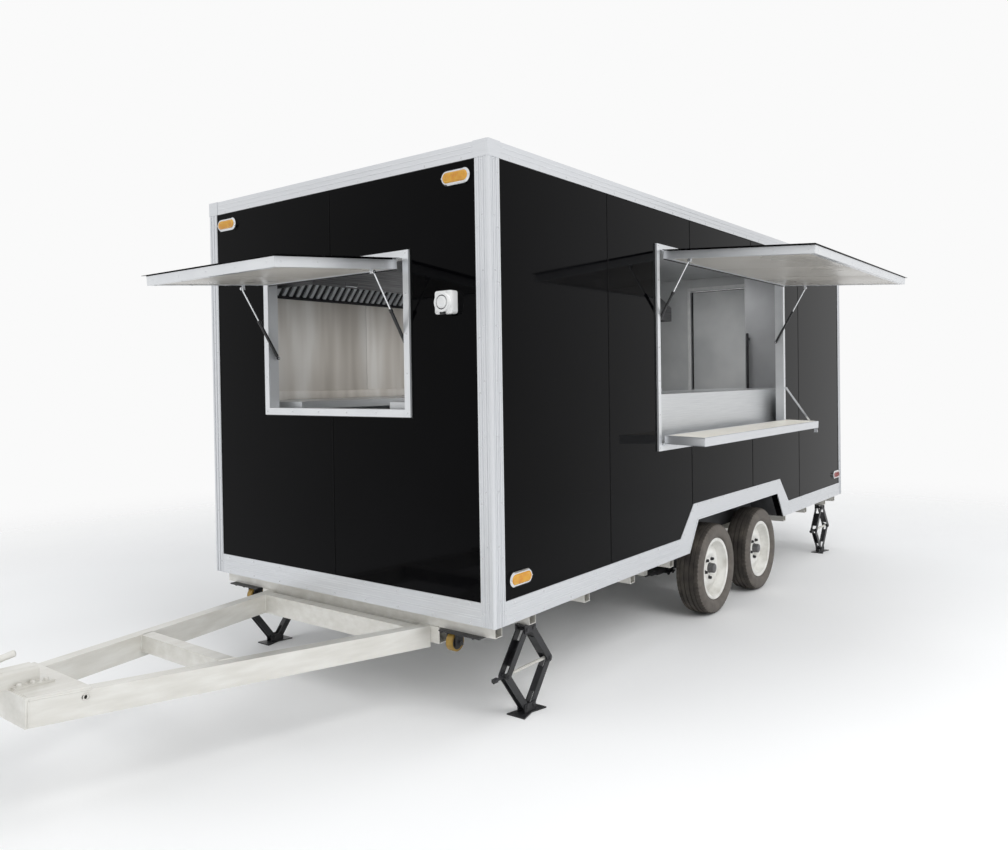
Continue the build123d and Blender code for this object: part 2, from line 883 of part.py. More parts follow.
# The chain holes are drilled square to the beams' sides.
web_normal = Vector(drawbar_slope, 1, 0).normalized()
chain_length = drawbar_beam_width * web_normal.Y
chain_middle = Vector(chain_x, chain_y, chain_z)
chain_reach = web_normal * chain_length
chain_hole = bar(tuple(chain_middle - chain_reach), tuple(chain_middle + chain_reach), chain_hole_radius)
for hole in both_sides(chain_hole):
    drawbar -= hole
drawbar_place = Pos(half_length, 0, rail_top) * Rot(Y=-drawbar_rise)
add("drawbar", drawbar_place * drawbar)

# Ball coupler bolted on the nose plate
coupler_back = drawbar_length - nose_plate_length / 2
ball_x = drawbar_length + coupler_reach - coupler_width / 2
coupler_base = nose_plate_thick
coupler_top = coupler_base + coupler_height
coupler = block((coupler_back, ball_x), span(0, coupler_width), (coupler_base, coupler_top))
coupler += Pos(ball_x, 0, coupler_base + coupler_height / 2) * Cylinder(coupler_width / 2, coupler_height)
coupler = fillet(coupler.faces().sort_by(Axis.Z)[-1].edges(), coupler_edge)
coupler -= Pos(ball_x, 0, coupler_base + coupler_ball_radius) * Sphere(coupler_ball_radius)
coupler -= Pos(ball_x, 0, coupler_base + coupler_ball_radius / 2) * Cylinder(
    coupler_ball_radius, coupler_ball_radius,
)
coupler += block(
    (coupler_back - coupler_base_lap, drawbar_length), span(0, coupler_width + 2 * coupler_base_side),
    (coupler_base, coupler_base + coupler_base_thick),
)
latch_x = ball_x - latch_back
latch_top = coupler_top + latch_height
coupler += block(span(latch_x, latch_length), span(0, latch_width), (coupler_top, latch_top))
coupler += bar(
    (latch_x, 0, latch_top), (latch_x - latch_lever_length, 0, latch_top + latch_lever_rise),
    latch_lever_radius,
)
add("coupler", drawbar_place * coupler)


# Running gear

# Wheels: name, place along X, side.
wheels = []
for axle_name, axle_sign in (("front", 1), ("rear", -1)):
    for side_name, side_sign in (("left", 1), ("right", -1)):
        wheels.append((f"{axle_name}_{side_name}", axle_x + axle_sign * axle_spacing / 2, side_sign))

tyre_seat = rim_seat_radius + seat_clearance
shoulder_radius = tyre_radius - shoulder_drop
shoulder_half = tread_half + shoulder_width
flange_top = rim_flange_radius + flange_room
bead_top_half = bead_half + bead_taper
tyre_edges = Line((tyre_radius, tread_half), (tyre_radius, -tread_half)).edges()
for sign in (1, -1):
    tyre_edges += Line((tyre_radius, sign * tread_half), (shoulder_radius, sign * shoulder_half)).edges()
    tyre_edges += ThreePointArc(
        (shoulder_radius, sign * shoulder_half),
        ((shoulder_radius + flange_top) / 2, sign * tyre_width / 2),
        (flange_top, sign * bead_top_half),
    ).edges()
    tyre_edges += Line((flange_top, sign * bead_top_half), (tyre_seat, sign * bead_half)).edges()
tyre_edges += Line((tyre_seat, bead_half), (tyre_seat, -bead_half)).edges()
tyre_section = make_face(tyre_edges)
tyre = revolve(tyre_section, Axis.Y)

barrel_inner = rim_seat_radius - rim_barrel_thick
flange_inner = bead_top_half + seat_clearance
rim = Rot(X=90) * (
    Cylinder(rim_seat_radius, 2 * rim_half_width) - Cylinder(barrel_inner, 2 * rim_half_width)
)
for sign in (1, -1):
    flange_mid = sign * (flange_inner + rim_half_width) / 2
    ring = Cylinder(rim_flange_radius, rim_half_width - flange_inner)
    ring -= Cylinder(barrel_inner, rim_half_width - flange_inner)
    rim += Pos(0, flange_mid, 0) * Rot(X=90) * ring
rim_face = rim_dish - rim_face_drop
rim_edge = rim_dish - rim_edge_drop
disc_profile = (
    (0, rim_face), (rim_face_radius, rim_face), (rim_crown_radius, rim_dish), (barrel_inner, rim_edge),
)
disc_back = [(radius, place - rim_disc_thick) for radius, place in reversed(disc_profile)]
rim += revolve(make_face(Polyline(*disc_profile, *disc_back, close=True)), Axis.Y)
hub_back = -rim_half_width
rim += bar((0, hub_back, 0), (0, rim_face, 0), hub_radius)
rim += bar((0, rim_face, 0), (0, rim_face + hub_cap_length, 0), hub_cap_radius)
spindle_end = rim_face - rim_disc_thick
rim -= bar((0, hub_back, 0), (0, spindle_end, 0), spindle_radius + pin_clearance)
for name, wheel_x, side_sign in wheels:
    place = Pos(wheel_x, side_sign * wheel_y, tyre_radius)
    if side_sign < 0:
        place = place * Rot(Z=180)
    add(f"{name}_tyre", place * tyre)
    add(f"{name}_rim", place * rim)

axle_half = wheel_y + hub_back - seat_clearance
spindle_tip = wheel_y + spindle_end - seat_clearance
# Leaves of a spring pack from the top down, as shares of its length.
spring_leaves = (1, 0.75, 0.5)
spring_ends = []
for axle_sign in (1, -1):
    beam_x = axle_x + axle_sign * axle_spacing / 2
    axle = block(span(beam_x, axle_square), (-axle_half, axle_half), span(tyre_radius, axle_square))
    axle += bar((beam_x, -spindle_tip, tyre_radius), (beam_x, spindle_tip, tyre_radius), spindle_radius)
    add("axles", axle)
    pack = None
    for level, share in enumerate(spring_leaves):
        leaf_top = spring_top - level * spring_leaf
        leaf = block(
            span(beam_x, 2 * spring_half * share), span(rail_y, spring_width),
            (leaf_top - spring_leaf, leaf_top),
        )
        pack = leaf if pack is None else pack + leaf
    add("leaf_springs", *both_sides(pack))
    spring_ends += [beam_x - spring_half, beam_x + spring_half]
spring_ends.sort()
# Hangers: one at each outer end, and one across the two inner ends.
hanger_spans = (
    (spring_ends[0] - hanger_half, spring_ends[0] + hanger_half),
    (spring_ends[1] - hanger_half, spring_ends[2] + hanger_half),
    (spring_ends[3] - hanger_half, spring_ends[3] + hanger_half),
)
for hanger_span in hanger_spans:
    hanger = block(hanger_span, span(rail_y, rail_width), (spring_top, rail_bottom))
    add("spring_hangers", *both_sides(hanger))


# Scissor jacks

jack_top = rail_top - jack_top_drop
jack_mid = (jack_top + jack_foot_pivot) / 2
jack_rise = asin((jack_top - jack_mid) / jack_arm)
jack_reach = jack_pivot_half + jack_arm * cos(jack_rise)


def jack_arm_solid(width):
    """A channel arm about its middle, with a hole at each end."""
    shape = SlotCenterToCenter(jack_arm, jack_arm_height)
    for end in (-1, 1):
        shape -= Pos(end * jack_arm / 2, 0) * Circle(jack_pin_radius + pin_clearance)
    solid = extrude(shape, width / 2, both=True)
    solid -= Box(2 * jack_arm, 2 * jack_arm_height, width - 2 * jack_arm_plate)
    web_length = jack_arm - 3 * jack_arm_height
    web_y = jack_arm_height / 2 - jack_arm_plate / 2
    solid += Pos(0, web_y, 0) * Box(web_length, jack_arm_plate, width)
    return solid


def jack_arm_between(low, high, width):
    """An arm between two (along, height) points of one side of a jack."""
    angle = degrees(atan2(high[1] - low[1], high[0] - low[0]))
    middle = ((low[0] + high[0]) / 2, (low[1] + high[1]) / 2)
    return Pos(middle[0], 0, middle[1]) * Rot(X=90) * Rot(Z=angle) * jack_arm_solid(width)


jack_places = []
for jack_x in (jack_front_x, jack_rear_x):
    for y_sign in (1, -1):
        jack_places.append(Pos(jack_x, y_sign * jack_y, 0))

ear_half = jack_pivot_half + jack_arm_height / 2
upper_ear = jack_upper_width / 2 + jack_arm_clear
lower_ear = jack_lower_width / 2 + jack_arm_clear


def jack_ears(inner, level, pivot_z):
    """A pair of ears with the two arm pins between them."""
    ears = None
    for sign in (1, -1):
        ear = block((-ear_half, ear_half), sorted((sign * inner, sign * (inner + jack_plate))), level)
        ears = ear if ears is None else ears + ear
    for sign in (1, -1):
        pin_x = sign * jack_pivot_half
        ears += bar((pin_x, -inner, pivot_z), (pin_x, inner, pivot_z), jack_pin_radius)
    return ears


bracket = block(
    (-ear_half, ear_half), span(0, 2 * (upper_ear + jack_plate)), (rail_top - jack_plate, rail_top),
)
bracket += jack_ears(upper_ear, (jack_top - jack_ear_drop, rail_top), jack_top)
foot_end = jack_foot_length / 2
foot_side = jack_foot_width / 2
foot_waist = jack_foot_waist / 2
foot_outline = Polyline(
    (-foot_end, -foot_side), (0, -foot_waist), (foot_end, -foot_side),
    (foot_end, foot_side), (0, foot_waist), (-foot_end, foot_side), close=True,
)
foot = extrude(make_face(foot_outline), jack_foot_thick)
foot += jack_ears(lower_ear, (0, jack_foot_pivot + jack_ear_drop), jack_foot_pivot)
trunnion_half = jack_lower_width / 2 - jack_arm_plate - jack_arm_clear
screw_end = jack_reach + jack_screw_tail
screw = bar((-jack_reach, 0, jack_mid), (screw_end, 0, jack_mid), jack_screw_radius)
screw_head = RegularPolygon(jack_screw_head, 6)
screw += Pos(screw_end, 0, jack_mid) * Rot(Y=90) * extrude(screw_head, jack_screw_head_length)
for sign in (1, -1):
    elbow_x = sign * jack_reach
    screw += bar(
        (elbow_x, -trunnion_half, jack_mid), (elbow_x, trunnion_half, jack_mid), jack_trunnion_radius,
    )
    screw += bar((elbow_x, -upper_ear, jack_mid), (elbow_x, upper_ear, jack_mid), jack_pin_radius)
top_pivot = (jack_pivot_half, jack_top)
foot_pivot = (jack_pivot_half, jack_foot_pivot)
elbow = (jack_reach, jack_mid)
upper_arm = jack_arm_between(elbow, top_pivot, jack_upper_width)
lower_arm = jack_arm_between(foot_pivot, elbow, jack_lower_width)
for place in jack_places:
    add("jack_brackets", place * bracket)
    add("jack_feet", place * foot)
    add("jack_screws", place * screw)
    add("jack_upper_arms", place * upper_arm, place * mirror(upper_arm, about=Plane.YZ))
    add("jack_lower_arms", place * lower_arm, place * mirror(lower_arm, about=Plane.YZ))


# Guide casters under the front corners

caster_z = rail_top - caster_drop
fork_gap = caster_width / 2 + hinge_gap
wheel_side = caster_width / 2
caster_fork = block(
    span(caster_x, caster_plate_length),
    (caster_y - fork_gap - caster_plate_inner, caster_y + fork_gap + caster_plate_outer),
    (rail_top - caster_plate, rail_top),
)
for sign in (1, -1):
    fork_y = sorted((caster_y + sign * fork_gap, caster_y + sign * (fork_gap + caster_plate)))
    caster_fork += block(span(caster_x, caster_fork_width), fork_y, (caster_z - caster_fork_below, rail_top))
caster_fork += bar(
    (caster_x, caster_y - fork_gap, caster_z), (caster_x, caster_y + fork_gap, caster_z), caster_axle_radius,
)
tread_start = (caster_x, caster_y - wheel_side, caster_z)
tread_end = (caster_x, caster_y + wheel_side, caster_z)
caster_wheel = bar(tread_start, tread_end, caster_radius)
caster_wheel -= bar(tread_start, tread_end, caster_axle_radius + pin_clearance)
add("caster_brackets", *both_sides(caster_fork))
add("left_caster_wheel", caster_wheel)
add("right_caster_wheel", mirror(caster_wheel, about=Plane.XZ))


# Marker lamps: an oval bezel with a domed lens, about (0, 0) facing up Z

def lamp_pieces():
    """A bezel ring on a back plate, and the lens in it."""
    outer = SlotOverall(lamp_length, lamp_height)
    inner = SlotOverall(lamp_length - 2 * lamp_bezel, lamp_height - 2 * lamp_bezel)
    bezel = extrude(outer, lamp_depth) - Pos(0, 0, lamp_depth - lens_depth) * extrude(inner, lens_depth)
    bezel = chamfer(bezel.faces().sort_by(Axis.Z)[-1].outer_wire().edges(), lamp_bezel / 2)
    lens_shape = SlotOverall(
        lamp_length - 2 * lamp_bezel - 2 * seat_clearance, lamp_height - 2 * lamp_bezel - 2 * seat_clearance,
    )
    lens = Pos(0, 0, lamp_depth - lens_depth) * extrude(lens_shape, lens_depth + lens_dome)
    lens = chamfer(lens.faces().sort_by(Axis.Z)[-1].edges(), lens_dome)
    return bezel, lens


wall_faces = {
    "front": Pos(wall_out_x, 0, 0) * Rot(Z=90) * Rot(X=90),
    "rear": Pos(-wall_out_x, 0, 0) * Rot(Z=-90) * Rot(X=90),
    "left": Pos(0, wall_out_y, 0) * Rot(Z=180) * Rot(X=90),
    "right": Pos(0, -wall_out_y, 0) * Rot(X=90),
}
front_side_lamp = half_length - front_side_lamp_inset
rear_side_lamp = half_length - rear_side_lamp_inset
# Lamps: wall, place along it as seen from outside, height, lens node.
lamp_y = half_width - lamp_inset
high_lamp_z = body_top - high_lamp_drop
low_lamp_z = body_bottom + low_lamp_rise
lamps = []
for sign in (1, -1):
    lamps.append(("front", sign * lamp_y, high_lamp_z, "amber_lenses"))
    lamps.append(("rear", sign * lamp_y, high_lamp_z, "red_lenses"))
    lamps.append(("rear", sign * lamp_y, low_lamp_z, "red_lenses"))
lamps.append(("left", -front_side_lamp, low_lamp_z, "amber_lenses"))
lamps.append(("right", front_side_lamp, low_lamp_z, "amber_lenses"))
lamps.append(("left", rear_side_lamp, low_lamp_z, "red_lenses"))
lamps.append(("right", -rear_side_lamp, low_lamp_z, "red_lenses"))
bezel, lens = lamp_pieces()
for wall, along, height, lens_node in lamps:
    place = wall_faces[wall] * Pos(along, height, 0)
    add("lamp_housings", place * bezel)
    add(lens_node, place * lens)

inlet_y = half_width - inlet_inset
inlet_z = body_top - inlet_drop
inlet = extrude(RectangleRounded(inlet_width, inlet_height, inlet_corner), inlet_body_depth)
inlet += extrude(Circle(inlet_cover_radius), inlet_depth)
inlet_groove = Circle(inlet_groove_radius) - Circle(inlet_groove_radius - inlet_groove_width)
inlet -= Pos(0, 0, inlet_depth - inlet_groove_depth) * extrude(inlet_groove, inlet_groove_depth)
add("power_inlet", wall_faces["front"] * Pos(inlet_y, inlet_z, 0) * inlet)


# Kitchen fittings seen through the windows

fridge_front = -wall_in_x + fridge_width
fridge_top = roof_under - fridge_head_room
bench_back = fridge_front + fitting_gap
bench_front = wall_in_x - lining_depth
wheel_box_room = arch_cut(wheel_box_wall + fitting_gap)
wheel_box_room -= block(
    (-half_length, half_length), span(0, 2 * (wheel_box_inner - wheel_box_wall - fitting_gap)),
    (0, body_top),
)


def bench(wall_y, side):
    """A folded sheet bench with its back to a wall, open towards the aisle, lipped at its front edge."""
    front_y = wall_y - side * bench_depth
    top = floor_top + bench_height
    shell = block((bench_back, bench_front), sorted((wall_y, front_y)), (floor_top, top))
    shell -= block(
        (bench_back + sheet, bench_front - sheet),
        sorted((wall_y - side * sheet, front_y + side * sheet)), (floor_top + sheet, top - sheet),
    )
    shell -= block(
        (bench_back + sheet, bench_front - sheet), sorted((front_y, front_y + side * sheet)),
        (floor_top + sheet, top - bench_top_thick),
    )
    return shell - wheel_box_room


add("serving_bench", bench(wall_in_y - lining_depth, 1))
add("cooking_bench", bench(-wall_in_y, -1))
hood_top = roof_under
hood_low = hood_top - hood_height
hood_wall_y = -wall_in_y
hood_lip_y = hood_wall_y + hood_depth


def hood_section(inset):
    """The hood's end outline, drawn in by a sheet's thickness and open below."""
    return make_face(Plane.YZ * Polyline(
        (hood_wall_y + inset, hood_low), (hood_wall_y + inset, hood_top - inset),
        (hood_wall_y + hood_depth / 2 - inset, hood_top - inset),
        (hood_lip_y - inset, hood_low + hood_skirt - inset), (hood_lip_y - inset, hood_low), close=True,
    ))


hood = Pos(bench_back, 0, 0) * extrude(
    hood_section(0), bench_front - bench_back, dir=(1, 0, 0),
)
hood -= Pos(bench_back + sheet, 0, 0) * extrude(
    hood_section(sheet), bench_front - bench_back - 2 * sheet, dir=(1, 0, 0),
)
add("range_hood", hood)

# Baffle filters on a slope inside the hood, from the lip up towards the wall.
filter_low = (hood_lip_y - sheet - seat_clearance, hood_low + filter_low_rise)
filter_high = (hood_wall_y + sheet + seat_clearance, hood_low + filter_high_rise)
filter_run = hypot(filter_low[0] - filter_high[0], filter_high[1] - filter_low[1])
filter_angle = degrees(atan2(filter_high[1] - filter_low[1], filter_low[0] - filter_high[0]))
filter_pitch = (bench_front - bench_back - 2 * sheet) / filter_count
filter_middle = ((filter_low[0] + filter_high[0]) / 2, (filter_low[1] + filter_high[1]) / 2)
for index in range(filter_count):
    tray_x = bench_back + sheet + (index + 0.5) * filter_pitch
    tray = Pos(0, 0, sheet / 2) * Box(filter_pitch, filter_run - 2 * filter_edge, sheet)
    slat_pitch = filter_pitch / filter_slats
    for slat in range(filter_slats):
        slat_x = (slat + 0.5) * slat_pitch - filter_pitch / 2
        tray += Pos(slat_x, 0, -slat_height / 2) * Box(
            slat_pitch / 2, filter_run - 6 * filter_edge, slat_height,
        )
    add("hood_filters", Pos(tray_x, *filter_middle) * Rot(X=-filter_angle) * tray)
fridge = block(
    (-wall_in_x, fridge_front), (wall_in_y - fridge_depth, wall_in_y),
    (floor_top, fridge_top),
)
fridge -= block(
    (-wall_in_x + fridge_wall, fridge_front - fridge_wall),
    (wall_in_y - fridge_depth + fridge_wall, wall_in_y),
    (floor_top + fridge_wall, fridge_top - fridge_wall),
)
add("upright_fridge", fridge)


# The origin is under the middle of the whole trailer, on the ground
whole = Compound([solid for solids in nodes.values() for solid in solids]).bounding_box()
origin_shift = (-(whole.min.X + whole.max.X) / 2, -(whole.min.Y + whole.max.Y) / 2, -whole.min.Z)

os.makedirs("parts", exist_ok=True)
for node_name, solids in nodes.items():
    moved = [Pos(*origin_shift) * solid for solid in solids]
    shape = moved[0] if len(moved) == 1 else Compound(moved)
    export_step(shape, f"parts/{node_name}.step")
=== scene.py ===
import json
from math import atan2, cos, hypot, pi, radians, sin, sqrt, tau

import bmesh
import bpy
from mathutils import Matrix, Vector


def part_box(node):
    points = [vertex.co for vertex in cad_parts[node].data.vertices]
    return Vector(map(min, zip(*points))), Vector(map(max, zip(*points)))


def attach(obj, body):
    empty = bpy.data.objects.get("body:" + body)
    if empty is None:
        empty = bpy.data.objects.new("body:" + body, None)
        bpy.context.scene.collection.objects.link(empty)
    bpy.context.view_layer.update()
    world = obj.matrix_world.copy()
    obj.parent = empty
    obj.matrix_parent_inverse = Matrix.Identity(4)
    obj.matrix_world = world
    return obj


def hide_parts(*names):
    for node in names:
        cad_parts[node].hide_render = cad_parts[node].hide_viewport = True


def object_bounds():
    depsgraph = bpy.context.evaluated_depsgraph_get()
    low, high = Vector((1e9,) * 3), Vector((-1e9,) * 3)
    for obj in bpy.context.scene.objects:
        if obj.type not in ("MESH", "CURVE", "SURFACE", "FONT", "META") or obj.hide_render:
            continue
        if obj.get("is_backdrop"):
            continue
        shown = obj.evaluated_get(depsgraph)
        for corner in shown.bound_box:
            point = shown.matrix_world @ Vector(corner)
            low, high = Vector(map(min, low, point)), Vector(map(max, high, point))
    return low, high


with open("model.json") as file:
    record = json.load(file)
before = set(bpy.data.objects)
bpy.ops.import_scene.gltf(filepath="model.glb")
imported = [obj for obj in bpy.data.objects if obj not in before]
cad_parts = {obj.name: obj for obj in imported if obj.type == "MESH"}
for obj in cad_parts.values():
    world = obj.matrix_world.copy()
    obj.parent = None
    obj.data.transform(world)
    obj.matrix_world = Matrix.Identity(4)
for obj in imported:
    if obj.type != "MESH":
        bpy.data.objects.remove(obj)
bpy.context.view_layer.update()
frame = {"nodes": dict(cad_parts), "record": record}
nodes = frame["nodes"]
scene = bpy.context.scene
joints = {joint["name"]: joint for joint in frame["record"]["behaviour"]["joints"]}

# Body frame: X forward, Y to the serving side, Z up from the ground, about the middle of the body.
TRIM, WALL, POST = 0.004, 0.045, 0.075
front_end, rear_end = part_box("front_wall")[1].x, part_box("rear_wall")[0].x
left_face, right_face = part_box("serving_wall")[1].y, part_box("far_wall")[0].y
middle_x, middle_y = (front_end + rear_end) / 2, (left_face + right_face) / 2
HALF_X = (front_end - rear_end) / 2 + TRIM
HALF_Y = (left_face - right_face) / 2 + TRIM
INNER_X, INNER_Y = HALF_X - TRIM - WALL, HALF_Y - TRIM - WALL
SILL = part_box("front_wall")[0].z
BODY_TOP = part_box("roof_panel")[1].z + TRIM
SKIRT_TOP, BAND_TOP = SILL + 0.103, SILL + 0.287
EAVES = BODY_TOP - 0.07
FLOOR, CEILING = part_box("floor_panel")[1].z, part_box("roof_panel")[0].z
ARCH_X = -0.195
DOWN, FORWARD, BACKWARD = (0, 0, -1), (1, 0, 0), (-1, 0, 0)


def at(x, y, z):
    """A point of the body frame in the part's own frame."""
    return Vector((middle_x + x, middle_y + y, z))


# Materials

EVEN, LEVEL, UPRIGHT, ALONG_X = (1, 1, 1), (1.5, 1.5, 90), (90, 90, 1.5), (1.5, 90, 90)


def srgb(red, green, blue):
    """A colour written in 0 to 255 levels, as Blender's linear values."""
    levels = []
    for level in (red, green, blue):
        share = level / 255
        levels.append(share / 12.92 if share <= 0.04045 else ((share + 0.055) / 1.055) ** 2.4)
    return (*levels, 1.0)


def set_levels(node, **levels):
    """Constants on a node's sockets, named with _ for a space."""
    for socket, level in levels.items():
        node.inputs[socket.replace("_", " ")].default_value = level


def add_node(tree, kind, **levels):
    """A new node of a kind, with constants on some of its sockets."""
    node = tree.nodes.new(kind)
    set_levels(node, **levels)
    return node


def texture(tree, scale, detail, stretch=EVEN):
    """A noise that is stretched along the axes of the object."""
    coords = add_node(tree, "ShaderNodeTexCoord")
    mapping = add_node(tree, "ShaderNodeMapping", Scale=stretch)
    noise = add_node(tree, "ShaderNodeTexNoise", Scale=scale, Detail=detail)
    tree.links.new(coords.outputs["Object"], mapping.inputs["Vector"])
    tree.links.new(mapping.outputs["Vector"], noise.inputs["Vector"])
    return noise.outputs["Fac"]


def finish(name, colours, pattern, rough, fine, metallic=0.0, specular=0.5, glassy=0.0, coat=0.0):
    """A finish: colours and roughness spread by one noise, with a fine bump (noise, strength, depth)."""
    made = bpy.data.materials.new(name)
    made.use_nodes = True
    tree = made.node_tree
    link = tree.links.new
    shader = tree.nodes["Principled BSDF"]
    value = texture(tree, *pattern)
    ramp = add_node(tree, "ShaderNodeValToRGB")
    stops = ramp.color_ramp.elements
    while len(stops) < len(colours):
        stops.new(0.5)
    for index, colour in enumerate(colours):
        stops[index].position = 0.3 + 0.4 * index / (len(colours) - 1)
        stops[index].color = srgb(*colour)
    link(value, ramp.inputs["Fac"])
    link(ramp.outputs["Color"], shader.inputs["Base Color"])
    spread = add_node(
        tree, "ShaderNodeMapRange", From_Min=0.3, From_Max=0.7, To_Min=rough[0], To_Max=rough[1])
    link(value, spread.inputs["Value"])
    link(spread.outputs["Result"], shader.inputs["Roughness"])
    noise, strength, depth = fine
    bump = add_node(tree, "ShaderNodeBump", Strength=strength, Distance=depth)
    link(texture(tree, *noise), bump.inputs["Height"])
    link(bump.outputs["Normal"], shader.inputs["Normal"])
    set_levels(
        shader, Metallic=metallic, Specular_IOR_Level=specular, Transmission_Weight=glassy, Coat_Weight=coat)
    return made


def brushed_trim(name, grain):
    """Aluminium trim with its grain along one way."""
    colours = ((208, 210, 214), (213, 215, 218), (218, 220, 223))
    return finish(name, colours, (9, 5, grain), (0.3, 0.36), ((40, 3, grain), 0.04, 0.0003), metallic=0.7)


def lens_plastic(name, colours):
    """Ribbed lens plastic, a little clear under a bright coat."""
    return finish(
        name, colours, (30, 3), (0.08, 0.16), ((120, 2, (1, 1, 8)), 0.2, 0.001), glassy=0.25, coat=0.6)


# Each finish: colours, pattern (scale, detail, stretch), roughness range, fine bump.
gloss_black = finish(
    "gloss_black", ((3, 3, 4), (7, 7, 9)), (0.9, 3), (0.03, 0.08), ((5, 2), 0.02, 0.001), specular=0.05)
seam_black = finish(
    "seam_black", ((7, 7, 8), (13, 13, 14)), (14, 3), (0.45, 0.6), ((300, 2), 0.1, 0.0004), specular=0.05)
alu_level = brushed_trim("alu_level", LEVEL)
alu_upright = brushed_trim("alu_upright", UPRIGHT)
alu_plain = finish(
    "alu_plain", ((216, 218, 221), (226, 228, 230)), (5, 4), (0.28, 0.36), ((180, 3), 0.04, 0.0003),
    metallic=0.6)
zinc = finish(
    "zinc", ((212, 210, 203), (220, 218, 212), (228, 227, 222)), (3, 5, (1.2, 6, 10)), (0.36, 0.44),
    ((60, 4, (4, 30, 30)), 0.05, 0.0003), metallic=0.4)
# Black steel, also laid as painted shade in the hood's filter slots, behind its baffles and in the power
# inlet's groove and notch.
black_steel_and_painted_shade = finish(
    "black_steel_and_painted_shade", ((20, 20, 22), (40, 40, 43)), (22, 4), (0.35, 0.55), ((240, 3), 0.2, 0.0005))
strut_black = finish(
    "strut_black", ((14, 14, 16), (26, 26, 29)), (30, 3), (0.18, 0.3), ((300, 2), 0.06, 0.0003))
rubber = finish(
    "rubber", ((92, 87, 83), (114, 109, 103)), (18, 5), (0.62, 0.8), ((220, 4), 0.25, 0.0008), specular=0.3)
dusty_rubber = finish(
    "dusty_rubber", ((54, 51, 49), (72, 68, 64), (94, 89, 82)), (9, 6), (0.75, 0.9), ((260, 4), 0.3, 0.0008),
    specular=0.2)
rim_paint = finish(
    "rim_paint", ((205, 203, 196), (228, 227, 222), (240, 239, 235)), (11, 5), (0.28, 0.42),
    ((160, 3), 0.05, 0.0004))
inox = finish(
    "inox", ((202, 204, 206), (209, 211, 213), (216, 218, 219)), (3, 3, ALONG_X), (0.3, 0.36),
    ((30, 3, ALONG_X), 0.04, 0.0003), metallic=0.7)
bright_chrome = finish(
    "bright_chrome", ((206, 208, 210), (228, 229, 231)), (20, 3), (0.06, 0.14), ((200, 2), 0.02, 0.0003),
    metallic=1.0)
amber = lens_plastic("amber", ((230, 152, 14), (244, 186, 36)))
red = lens_plastic("red", ((128, 10, 10), (172, 24, 20)))
moulded_white = finish(
    "moulded_white", ((226, 227, 227), (240, 240, 239)), (16, 3), (0.32, 0.44), ((420, 3), 0.08, 0.0003))
wall_white = finish(
    "wall_white", ((218, 219, 220), (225, 226, 227)), (2.5, 3), (0.3, 0.42), ((90, 3), 0.06, 0.0005))
liner_grey = finish(
    "liner_grey", ((196, 198, 199), (218, 219, 219)), (3, 3), (0.32, 0.45), ((120, 3), 0.05, 0.0004))
floor_vinyl = finish(
    "floor_vinyl", ((88, 90, 92), (120, 122, 124)), (40, 5), (0.5, 0.7), ((150, 4), 0.25, 0.001))
gold_tread = finish(
    "gold_tread", ((128, 100, 40), (160, 130, 60)), (40, 4), (0.4, 0.55), ((200, 3), 0.12, 0.0005))
sealant = finish("sealant", ((16, 16, 17), (30, 30, 31)), (40, 3), (0.5, 0.65), ((260, 3), 0.2, 0.0005))
awning_liner = finish(
    "awning_liner", ((184, 180, 173), (200, 196, 189)), (2, 3), (0.24, 0.36), ((90, 3), 0.04, 0.0004))
cream_board = finish(
    "cream_board", ((246, 242, 231), (252, 249, 241)), (4, 4), (0.3, 0.42), ((140, 3), 0.05, 0.0004))
# Splashback steel: a grey steel tone, with soft near-white upright streaks that are painted reflections.
splash_steel_painted_reflections = finish(
    "splash_steel_painted_reflections", ((186, 179, 170), (214, 208, 200), (242, 239, 234)),
    (2.2, 2, (3.2, 3.2, 0.35)), (0.4, 0.5),
    ((40, 3, UPRIGHT), 0.03, 0.0003), metallic=0.4)
arch_grey = finish("arch_grey", ((46, 47, 49), (70, 71, 73)), (8, 5), (0.55, 0.7), ((120, 4), 0.2, 0.0008))
# Dark steel: on the range hood its darkness is painted shade of the cabin; the hub caps take the same dark
# steel.
dark_steel_and_painted_shade = finish(
    "dark_steel_and_painted_shade", ((84, 84, 85), (104, 104, 105), (126, 126, 127)), (3, 3, ALONG_X), (0.3, 0.4),
    ((30, 3, ALONG_X), 0.04, 0.0003), metallic=0.8)
fridge_grey = finish(
    "fridge_grey", ((138, 139, 141), (154, 155, 157)), (3, 3), (0.3, 0.42), ((160, 3), 0.05, 0.0004),
    metallic=0.3)

# Finish of each CAD node by its slot, then the nodes that differ.
by_slot = {
    "black_panel": gloss_black, "white_panel": wall_white, "trim_aluminium": alu_level,
    "galvanised": zinc, "black_steel": black_steel_and_painted_shade, "tyre_rubber": rubber, "rim_white": rim_paint,
    "stainless": inox, "chrome": bright_chrome, "amber_lens": amber, "red_lens": red,
    "white_plastic": moulded_white, "caster_tread": gold_tread,
}
by_node = {
    "corner_posts": alu_upright, "counter_shelf": alu_level,
    # The range hood's dark steel is painted shade.
    "range_hood": dark_steel_and_painted_shade, "wheel_boxes": arch_grey,
    "side_strut_cylinders": strut_black, "front_strut_cylinders": strut_black, "door_frame": alu_plain,
}
for opening in ("side", "front"):
    by_node[f"{opening}_awning"] = by_node[f"{opening}_window_frame"] = alu_plain
for entry in frame["record"]["subparts"]:
    node_name = entry["node"]
    slots = nodes[node_name].data.materials
    slots.clear()
    slots.append(by_node.get(node_name, by_slot[entry["material_slot"]]))


# Mesh helpers

THIN_EDGE = 0.0008
RIVET, SMALL_RIVET = 0.0048, 0.0038


def add_object(name, data):
    """A new object in the scene."""
    thing = bpy.data.objects.new(name, data)
    scene.collection.objects.link(thing)
    return thing


def add_mesh(name, mesh, finishes):
    """A new object from a bmesh."""
    data = bpy.data.meshes.new(name)
    mesh.to_mesh(data)
    mesh.free()
    for made in finishes:
        data.materials.append(made)
    return add_object(name, data)


